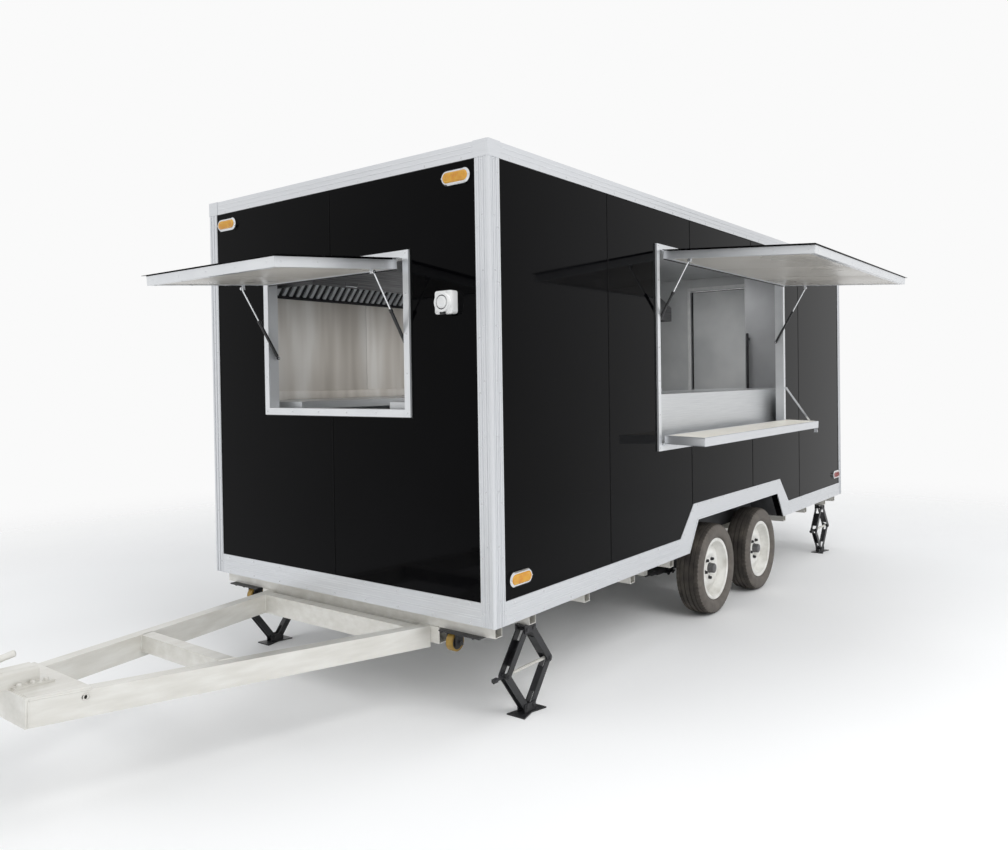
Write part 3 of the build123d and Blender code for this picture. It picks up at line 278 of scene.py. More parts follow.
def piece(name, mesh, slot, *finishes, body="trailer", stands_for=(), smooth=30):
    """A piece of the part, riding on a body, with edges sharper than an angle kept sharp."""
    bmesh.ops.recalc_face_normals(mesh, faces=mesh.faces)
    thing = add_mesh(name, mesh, finishes)
    thing.data.shade_smooth()
    thing.data.set_sharp_from_angle(angle=radians(smooth))
    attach(thing, body)
    if stands_for:
        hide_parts(*stands_for)


def circle(steps):
    """Cosine and sine of even steps round a full turn."""
    return [(cos(tau * k / steps), sin(tau * k / steps)) for k in range(steps)]


def spaced(low, high, pitch):
    """Places at about a pitch, from one end to the other."""
    count = max(1, round((high - low) / pitch))
    return [low + (high - low) * k / count for k in range(count + 1)]


def placed(point, normal, within=Matrix()):
    """A frame at a point with its Z along a direction, both given within another frame."""
    turn = Vector((0, 0, 1)).rotation_difference(within.to_3x3() @ Vector(normal))
    return Matrix.Translation(within @ Vector(point)) @ turn.to_matrix().to_4x4()


def loft(mesh, rings, ends=True, mark=0):
    """Quads between closed rings of points of the same count, with the end rings filled."""
    rows = [[mesh.verts.new(point) for point in ring] for ring in rings]
    faces = []
    for near, far in zip(rows, rows[1:]):
        for index in range(len(near)):
            after = (index + 1) % len(near)
            faces.append(mesh.faces.new((near[index], near[after], far[after], far[index])))
    if ends:
        faces += [mesh.faces.new(rows[0]), mesh.faces.new(rows[-1])]
    for face in faces:
        face.material_index = mark


def wrap(mesh, rows, marks=None):
    """Quads between closed rows, round to the first again; a face takes the mark its two points share."""
    rows = [[mesh.verts.new(point) for point in row] for row in rows]
    for near, far in zip(rows, rows[1:] + rows[:1]):
        for index in range(len(near)):
            after = (index + 1) % len(near)
            face = mesh.faces.new((near[index], near[after], far[after], far[index]))
            face.material_index = marks[index] & marks[after] if marks else 0


def lathe(mesh, profile, place, steps, mark=0, ends=True):
    """A profile of (radius, height) pairs turned about Z, then placed."""
    rings = [
        [place @ Vector((radius * c, radius * s, height)) for c, s in circle(steps)]
        for radius, height in profile
    ]
    loft(mesh, rings, ends, mark)


def slab(mesh, low, high, edge=0.0, place=Matrix(), mark=0):
    """A block between two corners, with bevelled edges where an edge size is given."""
    low, high = Vector(low), Vector(high)
    if edge:
        solid = bmesh.new()
        slab(solid, low, high)
        bmesh.ops.bevel(
            solid, geom=solid.edges, offset=edge, segments=2, profile=0.6, affect="EDGES", clamp_overlap=True,
        )
        solid.verts.index_update()
        made = [mesh.verts.new(place @ vert.co) for vert in solid.verts]
        for face in solid.faces:
            mesh.faces.new([made[vert.index] for vert in face.verts]).material_index = mark
        solid.free()
        return
    corners = ((low.x, low.y), (high.x, low.y), (high.x, high.y), (low.x, high.y))
    loft(mesh, [[place @ Vector((x, y, z)) for x, y in corners] for z in (low.z, high.z)], mark=mark)


def block(mesh, low, high, edge=THIN_EDGE):
    """A slab between two points of the body frame."""
    slab(mesh, at(*low), at(*high), edge)


def rivet(mesh, point, normal, radius=RIVET, within=Matrix()):
    """A low domed rivet head."""
    profile = ((radius, -0.0004), (radius, 0.0006), (radius * 0.78, 0.0014), (radius * 0.35, 0.0019))
    lathe(mesh, profile, placed(point, normal, within), 10)


def hex_bolt(mesh, point, normal, radius, height, within=Matrix()):
    """A hexagon head with a chamfered top on a round washer."""
    place = placed(point, normal, within)
    lathe(mesh, ((radius * 1.35, -0.0005), (radius * 1.35, 0.0015), (radius * 1.2, 0.0018)), place, 18)
    lathe(mesh, ((radius, 0.0018), (radius, height * 0.8), (radius * 0.82, height)), place, 6)


# Tyres and wheels

TYRE_LUGS, LUG_DEPTH, LUG_SKEW, GROOVE = 64, 0.006, 0.35, 0.0065
TYRE_SEAT, SEAT_HALF, PROFILE_HALF, TREAD_DROP = 0.1783, 0.062, 0.0868, 0.01
RIM_STEPS, NUTS, NUT_CIRCLE = 72, 5, 0.063


def tyre_mesh(centre, radius, half_width):
    """A road tyre: five ribs with grooves between them, and cut shoulder lugs."""
    # Half profile from the crown outwards: place across, drop from the tyre's radius, share of the lug depth.
    half = (
        (0.0, 0.0, 0), (0.0115, 0.0002, 0), (0.0125, GROOVE, 0), (0.0195, GROOVE, 0),
        (0.0205, 0.0005, 0), (0.0395, 0.0012, 0), (0.0405, GROOVE, 0), (0.0475, GROOVE, 0),
        (0.0485, 0.0018, 0.4), (0.056, 0.0024, 1), (0.062, 0.0036, 1), (0.069, 0.008, 1),
        (0.075, 0.015, 0.8), (0.08, 0.025, 0), (0.0845, 0.036, 0), (0.0868, 0.047, 0),
        (0.086, 0.05, 0), (0.0868, 0.053, 0), (0.085, 0.065, 0), (0.081, 0.076, 0),
        (0.0745, 0.086, 0), (0.07, 0.0895, 0), (0.066, 0.0905, 0), (0.064, 0.096, 0),
        (SEAT_HALF, radius - TYRE_SEAT, 0),
    )
    profile = [(-across, *rest) for across, *rest in reversed(half[1:])] + list(half)
    steps = TYRE_LUGS * 4
    rows = []
    for k in range(steps):
        row = []
        for across, drop, lug in profile:
            angle = tau * (k / steps + (LUG_SKEW / TYRE_LUGS if across < 0 else 0))
            reach = radius - drop - (LUG_DEPTH * lug if k % 4 < 2 else 0)
            side = across * half_width / PROFILE_HALF
            row.append(centre + Vector((reach * cos(angle), side, reach * sin(angle))))
        rows.append(row)
    mesh = bmesh.new()
    wrap(mesh, rows, [int(drop < TREAD_DROP) for _, drop, _ in profile])
    return mesh


def rim_mesh(centre, side):
    """A pressed steel rim: rolled flanges, drop centre, dished disc and hub."""
    barrel = (
        (0.173, -0.07), (0.178, -0.069), (0.193, -0.0695),
        (0.195, -0.0675), (0.1935, -0.0655), (0.181, -0.0645),
        (0.178, -0.06), (0.177, -0.045), (0.16, -0.032), (0.158, -0.01), (0.16, 0.012), (0.177, 0.034),
        (0.178, 0.06), (0.181, 0.0645), (0.1935, 0.0655), (0.195, 0.0675), (0.193, 0.0695), (0.178, 0.069),
        (0.1735, 0.067), (0.1725, 0.06), (0.1722, 0.036), (0.155, 0.014), (0.153, -0.01), (0.155, -0.034),
        (0.172, -0.047),
    )
    disc = (
        (0.1545, 0.006), (0.1545, 0.01), (0.15, 0.0145), (0.138, 0.018), (0.12, 0.0265), (0.104, 0.033),
        (0.096, 0.034), (0.086, 0.031), (0.074, 0.0235), (0.066, 0.0205), (0.046, 0.02), (0.043, 0.0215),
        (0.04, 0.024), (0.036, 0.024),
    )
    back = (
        (0.1545, 0.0), (0.138, 0.011), (0.104, 0.026), (0.066, 0.014), (0.049, 0.0135), (0.048, -0.07),
        (0.022, -0.07),
    )
    turn = placed(centre, (0, side, 0))
    mesh = bmesh.new()
    wrap(mesh, [
        [turn @ Vector((r * c, r * s, height)) for r, height in barrel] for c, s in circle(RIM_STEPS)
    ])
    lathe(mesh, disc, turn, RIM_STEPS)
    lathe(mesh, back, turn, 48)
    return mesh


def hub_mesh(centre, side):
    """Five lug nuts round the hub cap, with the valve in the rim."""
    cap = (
        (0.033, 0.02), (0.033, 0.03), (0.031, 0.033), (0.0305, 0.056), (0.0285, 0.06), (0.018, 0.0618),
        (0.006, 0.062),
    )
    turn = placed(centre, (0, side, 0))
    mesh = bmesh.new()
    lathe(mesh, cap, turn, 36, 1)
    for k in range(NUTS):
        angle = tau * (k + 0.25) / NUTS
        spot = turn @ Matrix.Translation((NUT_CIRCLE * cos(angle), NUT_CIRCLE * sin(angle), 0.0203))
        lathe(mesh, ((0.0125, -0.001), (0.0125, 0.002), (0.0105, 0.0035)), spot, 18)
        lathe(mesh, ((0.01, 0.003), (0.01, 0.015), (0.008, 0.018), (0.004, 0.0195)), spot, 6)
    valve = turn @ Matrix.Translation((0.158, 0.0, 0.03)) @ Matrix.Rotation(radians(-25), 4, "Y")
    stem = ((0.0055, -0.014), (0.0055, 0.01), (0.0042, 0.012), (0.0042, 0.024), (0.003, 0.027))
    lathe(mesh, stem, valve, 12)
    return mesh


for axle in ("front", "rear"):
    for side_name, side in (("left", 1), ("right", -1)):
        wheel = f"{axle}_{side_name}"
        body = f"{wheel}_wheel"
        low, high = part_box(f"{wheel}_tyre")
        centre = (low + high) / 2
        tyre = tyre_mesh(centre, (high.z - low.z) / 2, (high.y - low.y) / 2 - 0.001)
        piece(f"{wheel}_tyre_tread", tyre, "tyre_rubber", rubber, dusty_rubber, body=body,
              stands_for=(f"{wheel}_tyre",), smooth=40)
        piece(f"{wheel}_rim_pressing", rim_mesh(centre, side), "rim_white", rim_paint, body=body,
              stands_for=(f"{wheel}_rim",), smooth=40)
        piece(f"{wheel}_wheel_nuts", hub_mesh(centre, side), "black_steel", black_steel_and_painted_shade, dark_steel_and_painted_shade, body=body,
              smooth=35)


# Hinged panels at rest: X along the hinge, Y out along the panel, Z up

def hinge_frame(name, turn, droop):
    """The frame of a panel that hangs on a joint, turned about Z and drooping by some degrees."""
    place = Matrix.Translation(joints[name]["pos_m"])
    return place @ Matrix.Rotation(radians(turn), 4, "Z") @ Matrix.Rotation(radians(-droop), 4, "X")


side_leaf = hinge_frame("side_awning_hinge", 0, 90 + joints["side_awning_hinge"]["range_deg"][0])
front_leaf = hinge_frame("front_awning_hinge", -90, 90 + joints["front_awning_hinge"]["range_deg"][0])
counter_leaf = hinge_frame("counter_hinge", 0, joints["counter_hinge"]["range_deg"][1] - 90)

# Awnings: name, frame, half width and reach of the aluminium edge, lining sheets.
EDGE, RECESS_TOP, EDGE_LOW, EDGE_MIDDLE = 0.032, -0.042, -0.048, -0.027
for name, leaf, half, reach, sheets in (
    ("side_awning", side_leaf, 0.966, 0.842, 3), ("front_awning", front_leaf, 0.464, 0.68, 2),
):
    mesh = bmesh.new()
    width = 2 * (half - EDGE) / sheets
    for k in range(sheets):
        start = EDGE - half + k * width
        low = (start + 0.0008, 0.0385, RECESS_TOP - 0.0035)
        slab(mesh, low, (start + width - 0.0008, reach - EDGE - 0.0015, RECESS_TOP), 0.001, leaf)
    piece(f"{name}_lining", mesh, "white_panel", awning_liner, body=name)
    mesh = bmesh.new()
    for along in spaced(0.09, reach - 0.03, 0.19):
        for sign in (-1, 1):
            rivet(mesh, (sign * (half - EDGE / 2), along, EDGE_LOW), DOWN, within=leaf)
            rivet(mesh, (sign * half, along, EDGE_MIDDLE), (sign, 0, 0), SMALL_RIVET, leaf)
    for along in spaced(0.05 - half, half - 0.05, 0.21):
        rivet(mesh, (along, reach - EDGE / 2, EDGE_LOW), DOWN, within=leaf)
        rivet(mesh, (along, reach, EDGE_MIDDLE), (0, 1, 0), SMALL_RIVET, leaf)
    piece(f"{name}_rivets", mesh, "trim_aluminium", alu_plain, body=name, smooth=40)
    mesh = bmesh.new()
    slab(mesh, (-half, 0.0065, EDGE_LOW - 0.0055), (half, 0.0125, EDGE_LOW + 0.004), 0.002, leaf)
    piece(f"{name}_seal", mesh, "tyre_rubber", sealant, body=name)

# Counter: cream board set in its aluminium edges, with rivets along the front edge and caps on the ends.
mesh = bmesh.new()
slab(mesh, (-0.966, 0.026, 0.0545), (0.966, 0.229, 0.0562), THIN_EDGE, counter_leaf)
piece("counter_board", mesh, "white_panel", cream_board, body="counter")
mesh = bmesh.new()
for along in spaced(-0.94, 0.94, 0.235):
    rivet(mesh, (along, 0.245, 0.031), (0, 1, 0), SMALL_RIVET, counter_leaf)
for end in (-0.98, 0.98):
    slab(mesh, (end - 0.0037, 0.006, 0.012), (end + 0.0037, 0.244, 0.05), 0.001, counter_leaf)
piece("counter_rivets", mesh, "trim_aluminium", alu_plain, body="counter", smooth=40)


# Wall joints, sealant lines and rivets on the outside

WALLS = {"left": (0, 1, 0), "right": (0, -1, 0), "front": FORWARD, "rear": BACKWARD}
POSTS = {"left": HALF_X, "right": HALF_X, "front": HALF_Y, "rear": HALF_Y}


def wall_point(wall, along, height, out=0.0):
    """A point on an outer wall face: along is X on the sides and Y on the ends."""
    x, y, _ = WALLS[wall]
    if y:
        return at(along, y * (HALF_Y - TRIM + out), height)
    return at(x * (HALF_X - TRIM + out), along, height)


def wall_rivet(mesh, wall, along, height, out=TRIM, radius=RIVET):
    """A rivet on a wall, or on the trim that stands out of it."""
    rivet(mesh, wall_point(wall, along, height, out), WALLS[wall], radius)


def wall_strip(mesh, wall, along, height, proud, edge=0.0004, base=0.0):
    """A flat strip on a wall from (low, high) pairs along it and up it."""
    corners = [wall_point(wall, along[k], height[k], out) for k in (0, 1) for out in (base, base + proud)]
    low = [min(corner[axis] for corner in corners) for axis in range(3)]
    high = [max(corner[axis] for corner in corners) for axis in range(3)]
    slab(mesh, low, high, edge)


def trim_rib(mesh, wall, along, height):
    """A rib rolled into the trim."""
    wall_strip(mesh, wall, along, height, 0.0014, 0.0006, TRIM)


def flange_outline(middle, half, low, high, flange):
    """The outer edge of an opening's flange, as (low, high) pairs along the wall and up it."""
    return (middle - half - flange, middle + half + flange), (low - flange, high + flange)


WINDOW_X, WINDOW_HALF, WINDOW_LOW, WINDOW_HIGH = -0.025, 0.992, 1.136, 2.228
FRONT_Y, FRONT_HALF, FRONT_LOW, FRONT_HIGH = 0.014, 0.49, 1.386, 2.071
DOOR_HALF, DOOR_LOW, DOOR_HIGH = 0.39, 0.609, 2.35
SIDE_FLANGE, FRONT_FLANGE, DOOR_FLANGE = 0.033, 0.035, 0.04
FLANGE_OUT = TRIM + 0.008
side_x, side_z = flange_outline(WINDOW_X, WINDOW_HALF, WINDOW_LOW, WINDOW_HIGH, SIDE_FLANGE)
front_y, front_z = flange_outline(FRONT_Y, FRONT_HALF, FRONT_LOW, FRONT_HIGH, FRONT_FLANGE)
door_y, door_z = flange_outline(0, DOOR_HALF, DOOR_LOW, DOOR_HIGH, DOOR_FLANGE)

JOINTS = (1.515, 0.552, -0.415, -1.382)
JOINT_HALF, JOINT_PROUD, BAND_HALF = 0.004, 0.0012, 0.76
mesh = bmesh.new()
for joint_x in JOINTS:
    band = BAND_TOP if abs(joint_x - ARCH_X) < BAND_HALF else SKIRT_TOP
    runs = [("right", band, EAVES)]
    if abs(joint_x - WINDOW_X) < WINDOW_HALF:
        runs += [("left", band, side_z[0]), ("left", side_z[1], EAVES)]
    else:
        runs += [("left", band, EAVES)]
    for wall, low, high in runs:
        wall_strip(mesh, wall, (joint_x - JOINT_HALF, joint_x + JOINT_HALF), (low, high), JOINT_PROUD)
for run in ((SKIRT_TOP, front_z[0]), (front_z[1], EAVES)):
    wall_strip(mesh, "front", (-JOINT_HALF, JOINT_HALF), run, JOINT_PROUD)
piece("wall_joints", mesh, "black_panel", seam_black)

SEAL, SEAL_PROUD, POST_SEAL = 0.004, 0.002, 0.003
lines = [("rear", door_y, (door_z[1], door_z[1] + SEAL))]
for wall, along, height in (("left", side_x, side_z), ("front", front_y, front_z), ("rear", door_y, door_z)):
    wide = (along[0] - SEAL, along[1] + SEAL)
    lines += [(wall, (wide[0], along[0]), height), (wall, (along[1], wide[1]), height)]
    if wall != "rear":
        lines += [(wall, wide, (height[0] - SEAL, height[0])), (wall, wide, (height[1], height[1] + SEAL))]
upright = (SKIRT_TOP, EAVES)
for wall, post in POSTS.items():
    half = post - POST
    lines += [(wall, (-half, POST_SEAL - half), upright), (wall, (half - POST_SEAL, half), upright)]
    lines += [(wall, (-half, half), (EAVES - POST_SEAL, EAVES))]
mesh = bmesh.new()
for line in lines:
    wall_strip(mesh, *line, SEAL_PROUD)
piece("sealant_lines", mesh, "tyre_rubber", sealant)

# Ribs rolled into the skirt, roof trim and posts, and their rivets.
RIVET_PITCH, END_GAP, RIB = 0.22, 0.06, 0.0035
ARCH_FOOT = 0.922
mesh = bmesh.new()
rivets = bmesh.new()
for wall, post in POSTS.items():
    half = post - POST
    runs = [(-half, half)]
    if wall in ("left", "right"):
        runs = [(-half, ARCH_X - ARCH_FOOT), (ARCH_X + ARCH_FOOT, half)]
    for start, end in runs:
        for rise in (0.03, 0.04, 0.064, 0.074):
            level = SILL + rise
            trim_rib(mesh, wall, (start + 0.002, end - 0.002), (level, level + RIB))
        for along in spaced(start + END_GAP, end - END_GAP, RIVET_PITCH):
            for level in (SKIRT_TOP - 0.013, SILL + 0.014):
                wall_rivet(rivets, wall, along, level)
    full = half - 0.012
    for level in (EAVES + 0.026, EAVES + 0.048):
        trim_rib(mesh, wall, (-full, full), (level, level + RIB))
    for along in spaced(END_GAP - full, full - END_GAP, RIVET_PITCH):
        wall_rivet(rivets, wall, along, EAVES + 0.012)
    for sign in (-1, 1):
        for inset in (0.0195, 0.0435, 0.0675):
            middle = sign * (post - inset)
            trim_rib(mesh, wall, (middle - 0.0016, middle + 0.0016), (SILL + 0.002, EAVES - 0.002))
        for level in spaced(SILL + END_GAP, EAVES - END_GAP, RIVET_PITCH):
            wall_rivet(rivets, wall, sign * (post - 0.06), level)
            wall_rivet(rivets, wall, sign * (post - 0.036), level + 0.05, radius=0.0036)

# Arch band rivets along its outer edge, and a lip round the cut.
SKIRT_LINE, BAND_LINE, CUT_TOP = SKIRT_TOP - 0.014, BAND_TOP - 0.014, SILL + 0.185
band_line = ((-0.9, SKIRT_LINE), (-0.728, BAND_LINE), (0.728, BAND_LINE), (0.9, SKIRT_LINE))
# Lip: place along, height, and the shift to its outer edge.
lip_line = (
    (-0.807, SILL, -0.0045, 0.0), (-0.68, CUT_TOP, -0.0075, 0.006),
    (0.68, CUT_TOP, 0.0075, 0.006), (0.807, SILL, 0.0045, 0.0),
)
LIP_BASE, LIP_FACE = TRIM - 0.0005, TRIM + 0.0025
for wall in ("left", "right"):
    for (x0, z0), (x1, z1) in zip(band_line, band_line[1:]):
        length = hypot(x1 - x0, z1 - z0)
        for share in spaced(0.04 / length, 1 - 0.04 / length, 0.2 / length):
            wall_rivet(rivets, wall, ARCH_X + x0 + (x1 - x0) * share, z0 + (z1 - z0) * share)
    rings = []
    for x, z, dx, dz in lip_line:
        inner, outer = (ARCH_X + x, z), (ARCH_X + x + dx, z + dz)
        ring = ((*inner, LIP_BASE), (*outer, LIP_BASE), (*outer, LIP_FACE), (*inner, LIP_FACE))
        rings.append([wall_point(wall, *point) for point in ring])
    loft(mesh, rings)
for wall, along, height, flange in (
    ("left", side_x, side_z, SIDE_FLANGE), ("front", front_y, front_z, FRONT_FLANGE),
):
    ends = (along[0] + flange / 2, along[1] - flange / 2)
    low, high = height[0] + flange / 2, height[1] - flange / 2
    for place in spaced(*ends, 0.2):
        wall_rivet(rivets, wall, place, low, FLANGE_OUT)
        wall_rivet(rivets, wall, place, high + 0.006, FLANGE_OUT)
    for level in spaced(low, high, 0.2)[1:-1]:
        for place in ends:
            wall_rivet(rivets, wall, place, level, FLANGE_OUT)
for level in spaced(DOOR_LOW, DOOR_HIGH, RIVET_PITCH):
    for sign in (-1, 1):
        wall_rivet(rivets, "rear", sign * (DOOR_HALF + 0.026), level, FLANGE_OUT)
piece("trim_ribs", mesh, "trim_aluminium", alu_plain)
piece("trim_rivets", rivets, "trim_aluminium", bright_chrome, smooth=40)

# Cover strips on the roof sheet joints.
mesh = bmesh.new()
for joint_x in JOINTS:
    low = (joint_x - 0.018, 0.062 - HALF_Y, BODY_TOP - TRIM)
    block(mesh, low, (joint_x + 0.018, HALF_Y - 0.062, BODY_TOP - TRIM + 0.002))
piece("roof_joints", mesh, "white_panel", moulded_white)

# Inside: wall and ceiling linings, round the openings, the fridge and the cooking bench

SHEET, LINED = 0.004, 0.0045
bench_low, bench_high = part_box("cooking_bench")
hood_box, fridge_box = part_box("range_hood"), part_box("upright_fridge")
HOOD_LOW, BENCH_TOP = hood_box[0].z, bench_high.z
BENCH_BACK, BENCH_FRONT = bench_low.x - middle_x, bench_high.x - middle_x
HOOD_Y = hood_box[0].y - middle_y
HOOD_MIDDLE_Y = HOOD_Y + 0.35
FRIDGE_FACE, FRIDGE_Y = fridge_box[1].x - middle_x, fridge_box[0].y - middle_y
sheet_x, sheet_y = INNER_X - SHEET, INNER_Y - SHEET
hole_back, hole_front = WINDOW_X - WINDOW_HALF - LINED, WINDOW_X + WINDOW_HALF + LINED
hole_right, hole_left = FRONT_Y - FRONT_HALF - LINED, FRONT_Y + FRONT_HALF + LINED
door_edge, door_top = DOOR_HALF + LINED, DOOR_HIGH + LINED
arch_top, arch_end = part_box("wheel_boxes")[1].z, ARCH_X + 0.84
sheets = (
    # Serving wall
    ((FRIDGE_FACE + 0.002, sheet_y, FLOOR), (hole_back, INNER_Y, CEILING)),
    ((hole_front, sheet_y, FLOOR), (sheet_x, INNER_Y, CEILING)),
    ((hole_back, sheet_y, WINDOW_HIGH + LINED), (hole_front, INNER_Y, CEILING)),
    ((hole_back, sheet_y, arch_top + 0.002), (arch_end, INNER_Y, WINDOW_LOW - LINED)),
    ((arch_end, sheet_y, FLOOR), (hole_front, INNER_Y, WINDOW_LOW - LINED)),
    # Front wall
    ((sheet_x, -INNER_Y, FLOOR), (INNER_X, hole_right, CEILING)),
    ((sheet_x, hole_left, FLOOR), (INNER_X, INNER_Y, CEILING)),
    ((sheet_x, hole_right, FRONT_HIGH + LINED), (INNER_X, hole_left, CEILING)),
    ((sheet_x, hole_right, FLOOR), (INNER_X, hole_left, FRONT_LOW - LINED)),
    # Rear wall
    ((-INNER_X, -INNER_Y, FLOOR), (-sheet_x, -door_edge, CEILING)),
    ((-INNER_X, door_edge, FLOOR), (-sheet_x, FRIDGE_Y - 0.002, CEILING)),
    ((-INNER_X, -door_edge, door_top), (-sheet_x, door_edge, CEILING)),
    # Far wall, then the ceiling
    ((-sheet_x, -INNER_Y, FLOOR), (BENCH_BACK - 0.002, -sheet_y, CEILING)),
    ((BENCH_FRONT + 0.002, -INNER_Y, FLOOR), (sheet_x, -sheet_y, CEILING)),
    ((-sheet_x, HOOD_MIDDLE_Y + 0.003, CEILING - SHEET), (sheet_x, sheet_y, CEILING)),
    ((-sheet_x, -sheet_y, CEILING - SHEET), (BENCH_BACK - 0.003, HOOD_MIDDLE_Y, CEILING)),
)
mesh = bmesh.new()
for low, high in sheets:
    block(mesh, low, high)
piece("cabin_lining", mesh, "white_panel", liner_grey)

DOOR_FACE, CASING, CASING_X = -HALF_X - 0.015, 0.03, 0.006 - sheet_x
door_in = DOOR_FACE + 0.048
mesh = bmesh.new()
low = (door_in, 0.016 - DOOR_HALF, DOOR_LOW + 0.018)
block(mesh, low, (door_in + 0.0025, DOOR_HALF - 0.012, DOOR_HIGH - 0.012), 0.001)
piece("door_lining", mesh, "white_panel", liner_grey, body="rear_door")
mesh = bmesh.new()
casing_edge = door_edge + CASING
block(mesh, (-sheet_x, -casing_edge, FLOOR), (CASING_X, -door_edge, door_top), 0.0015)
block(mesh, (-sheet_x, door_edge, FLOOR), (CASING_X, casing_edge, door_top), 0.0015)
block(mesh, (-sheet_x, -casing_edge, door_top), (CASING_X, casing_edge, door_top + CASING), 0.0015)
piece("door_casing", mesh, "white_plastic", moulded_white)

# Floor covering with ribs between the two benches.
FLOOR_RIBS = 30
bench_y, serving_y = bench_high.y - middle_y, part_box("serving_bench")[0].y - middle_y
mesh = bmesh.new()
block(mesh, (-sheet_x, bench_y + 0.003, FLOOR), (sheet_x, serving_y - 0.003, FLOOR + 0.0025))
for k in range(FLOOR_RIBS):
    rib_y = bench_y + 0.02 + k * (serving_y - bench_y - 0.04) / (FLOOR_RIBS - 1)
    low = (0.01 - sheet_x, rib_y - 0.002, FLOOR + 0.002)
    block(mesh, low, (sheet_x - 0.01, rib_y + 0.002, FLOOR + 0.0037), 0)
piece("floor_covering", mesh, "white_panel", floor_vinyl)

# Splashback sheets above the cooking bench, with an upstand at their foot; their steel carries painted
# reflections as soft bright upright streaks.
SPLASH_SHEETS, SPLASH = 4, 0.0025
width = (BENCH_FRONT - BENCH_BACK) / SPLASH_SHEETS
mesh = bmesh.new()
for k in range(SPLASH_SHEETS):
    start = BENCH_BACK + k * width
    low = (start + 0.001, -INNER_Y, BENCH_TOP + 0.001)
    block(mesh, low, (start + width - 0.001, SPLASH - INNER_Y, HOOD_LOW - 0.001))
upstand_end = (BENCH_FRONT, 0.0185 - INNER_Y, BENCH_TOP + 0.05)
block(mesh, (BENCH_BACK, SPLASH - INNER_Y, BENCH_TOP), upstand_end, 0.003)
piece("splashback", mesh, "stainless", splash_steel_painted_reflections)

# Fridge: two doors, vent slats under them, a rail handle on each.
FRIDGE_SPLIT, FRIDGE_VENTS = 1.02, 5
mesh = bmesh.new()
for low, high in ((FLOOR + 0.085, FRIDGE_SPLIT - 0.004), (FRIDGE_SPLIT + 0.004, fridge_box[1].z - 0.012)):
    door_end = (FRIDGE_FACE + 0.026, INNER_Y - 0.008, high)
    block(mesh, (FRIDGE_FACE + 0.001, FRIDGE_Y + 0.006, low), door_end, 0.006)
for vent in range(FRIDGE_VENTS):
    level = FLOOR + 0.018 + vent * 0.012
    vent_end = (FRIDGE_FACE + 0.006, INNER_Y - 0.03, level + 0.006)
    block(mesh, (FRIDGE_FACE, FRIDGE_Y + 0.03, level), vent_end, 0.0015)
piece("fridge_doors", mesh, "white_panel", fridge_grey)
mesh = bmesh.new()
for low, high in ((0.66, 0.96), (1.25, 1.88)):
    rail = ((0.008, low), (0.011, low + 0.004), (0.011, high - 0.004), (0.008, high))
    lathe(mesh, rail, Matrix.Translation(at(FRIDGE_FACE + 0.058, FRIDGE_Y + 0.04, 0)), 16)
    for level in (low + 0.05, high - 0.05):
        foot = placed(at(FRIDGE_FACE + 0.024, FRIDGE_Y + 0.04, level), FORWARD)
        lathe(mesh, ((0.011, 0.0), (0.009, 0.004), (0.007, 0.01), (0.007, 0.03)), foot, 14)
piece("fridge_handles", mesh, "black_steel", black_steel_and_painted_shade, smooth=40)

# Hood filters: dark strips in the slots between the baffles, painted shade, and wire grips.
TRAYS, SLATS, WIRE = 8, 9, 0.0035
low_y, low_z = HOOD_Y + 0.7 - 0.0033, HOOD_LOW + 0.045
high_y, high_z = HOOD_Y + 0.0033, HOOD_LOW + 0.21
run = hypot(low_y - high_y, high_z - low_z)
slope = atan2(high_z - low_z, low_y - high_y)
tray_width = (BENCH_FRONT - BENCH_BACK - 0.006) / TRAYS
pitch = tray_width / SLATS
slots = bmesh.new()
grips = bmesh.new()
for k in range(TRAYS):
    middle = at(BENCH_BACK + 0.003 + (k + 0.5) * tray_width, (low_y + high_y) / 2, (low_z + high_z) / 2)
    tray = Matrix.Translation(middle) @ Matrix.Rotation(-slope, 4, "X")
    for slot in range(SLATS - 1):
        start = (slot + 0.78) * pitch - tray_width / 2
        slot_end = (start + pitch * 0.44, run / 2 - 0.034, 0.0)
        # Each slot is a thin dark strip: painted shade where the filter is open.
        slab(slots, (start, 0.034 - run / 2, -0.0012), slot_end, 0.0003, tray)
    for along in (-0.11, 0.11):
        grip_y = run / 2 - 0.09 + along
        loft(grips, [
            [tray @ Vector((x, grip_y + WIRE * c, z + WIRE * s)) for c, s in circle(8)]
            for x, z in ((-0.045, -0.014), (-0.04, -0.034), (0.04, -0.034), (0.045, -0.014))
        ])
piece("hood_slot_painted_shade", slots, "black_steel", black_steel_and_painted_shade)
piece("filter_grips", grips, "chrome", bright_chrome, smooth=50)

# Baffles and gutter along the hood's back, as the front window shows them; the dark backing sheet behind the
# slats is painted shade in the gaps.
BANK = 0.178
bank_half = (BENCH_FRONT - BENCH_BACK) / 2 - 0.006
foot_line = at((BENCH_BACK + BENCH_FRONT) / 2, HOOD_Y + 0.01, HOOD_LOW + 0.014)
baffles = Matrix.Translation(foot_line) @ Matrix.Rotation(-atan2(0.115, 0.138), 4, "X")
mesh = bmesh.new()
# Backing sheet in the dark finish: painted shade showing between the slats.
slab(mesh, (-bank_half, -0.002, 0.0), (bank_half, 0.0, BANK), 0.0005, baffles, 1)
# Gutter, in the same dark finish.
slab(mesh, (-bank_half, -0.002, -0.01), (bank_half, 0.012, 0.004), 0.002, baffles, 1)
for along in spaced(0.03 - bank_half, bank_half - 0.03, 0.052):
    slat = ((-0.013, 0.0), (-0.011, 0.009), (0.011, 0.009), (0.013, 0.0))
    slat_ends = (0.008, BANK - 0.004)
    loft(mesh, [[baffles @ Vector((along + x, y, level)) for x, y in slat] for level in slat_ends])
piece("hood_baffles", mesh, "stainless", alu_plain, black_steel_and_painted_shade)

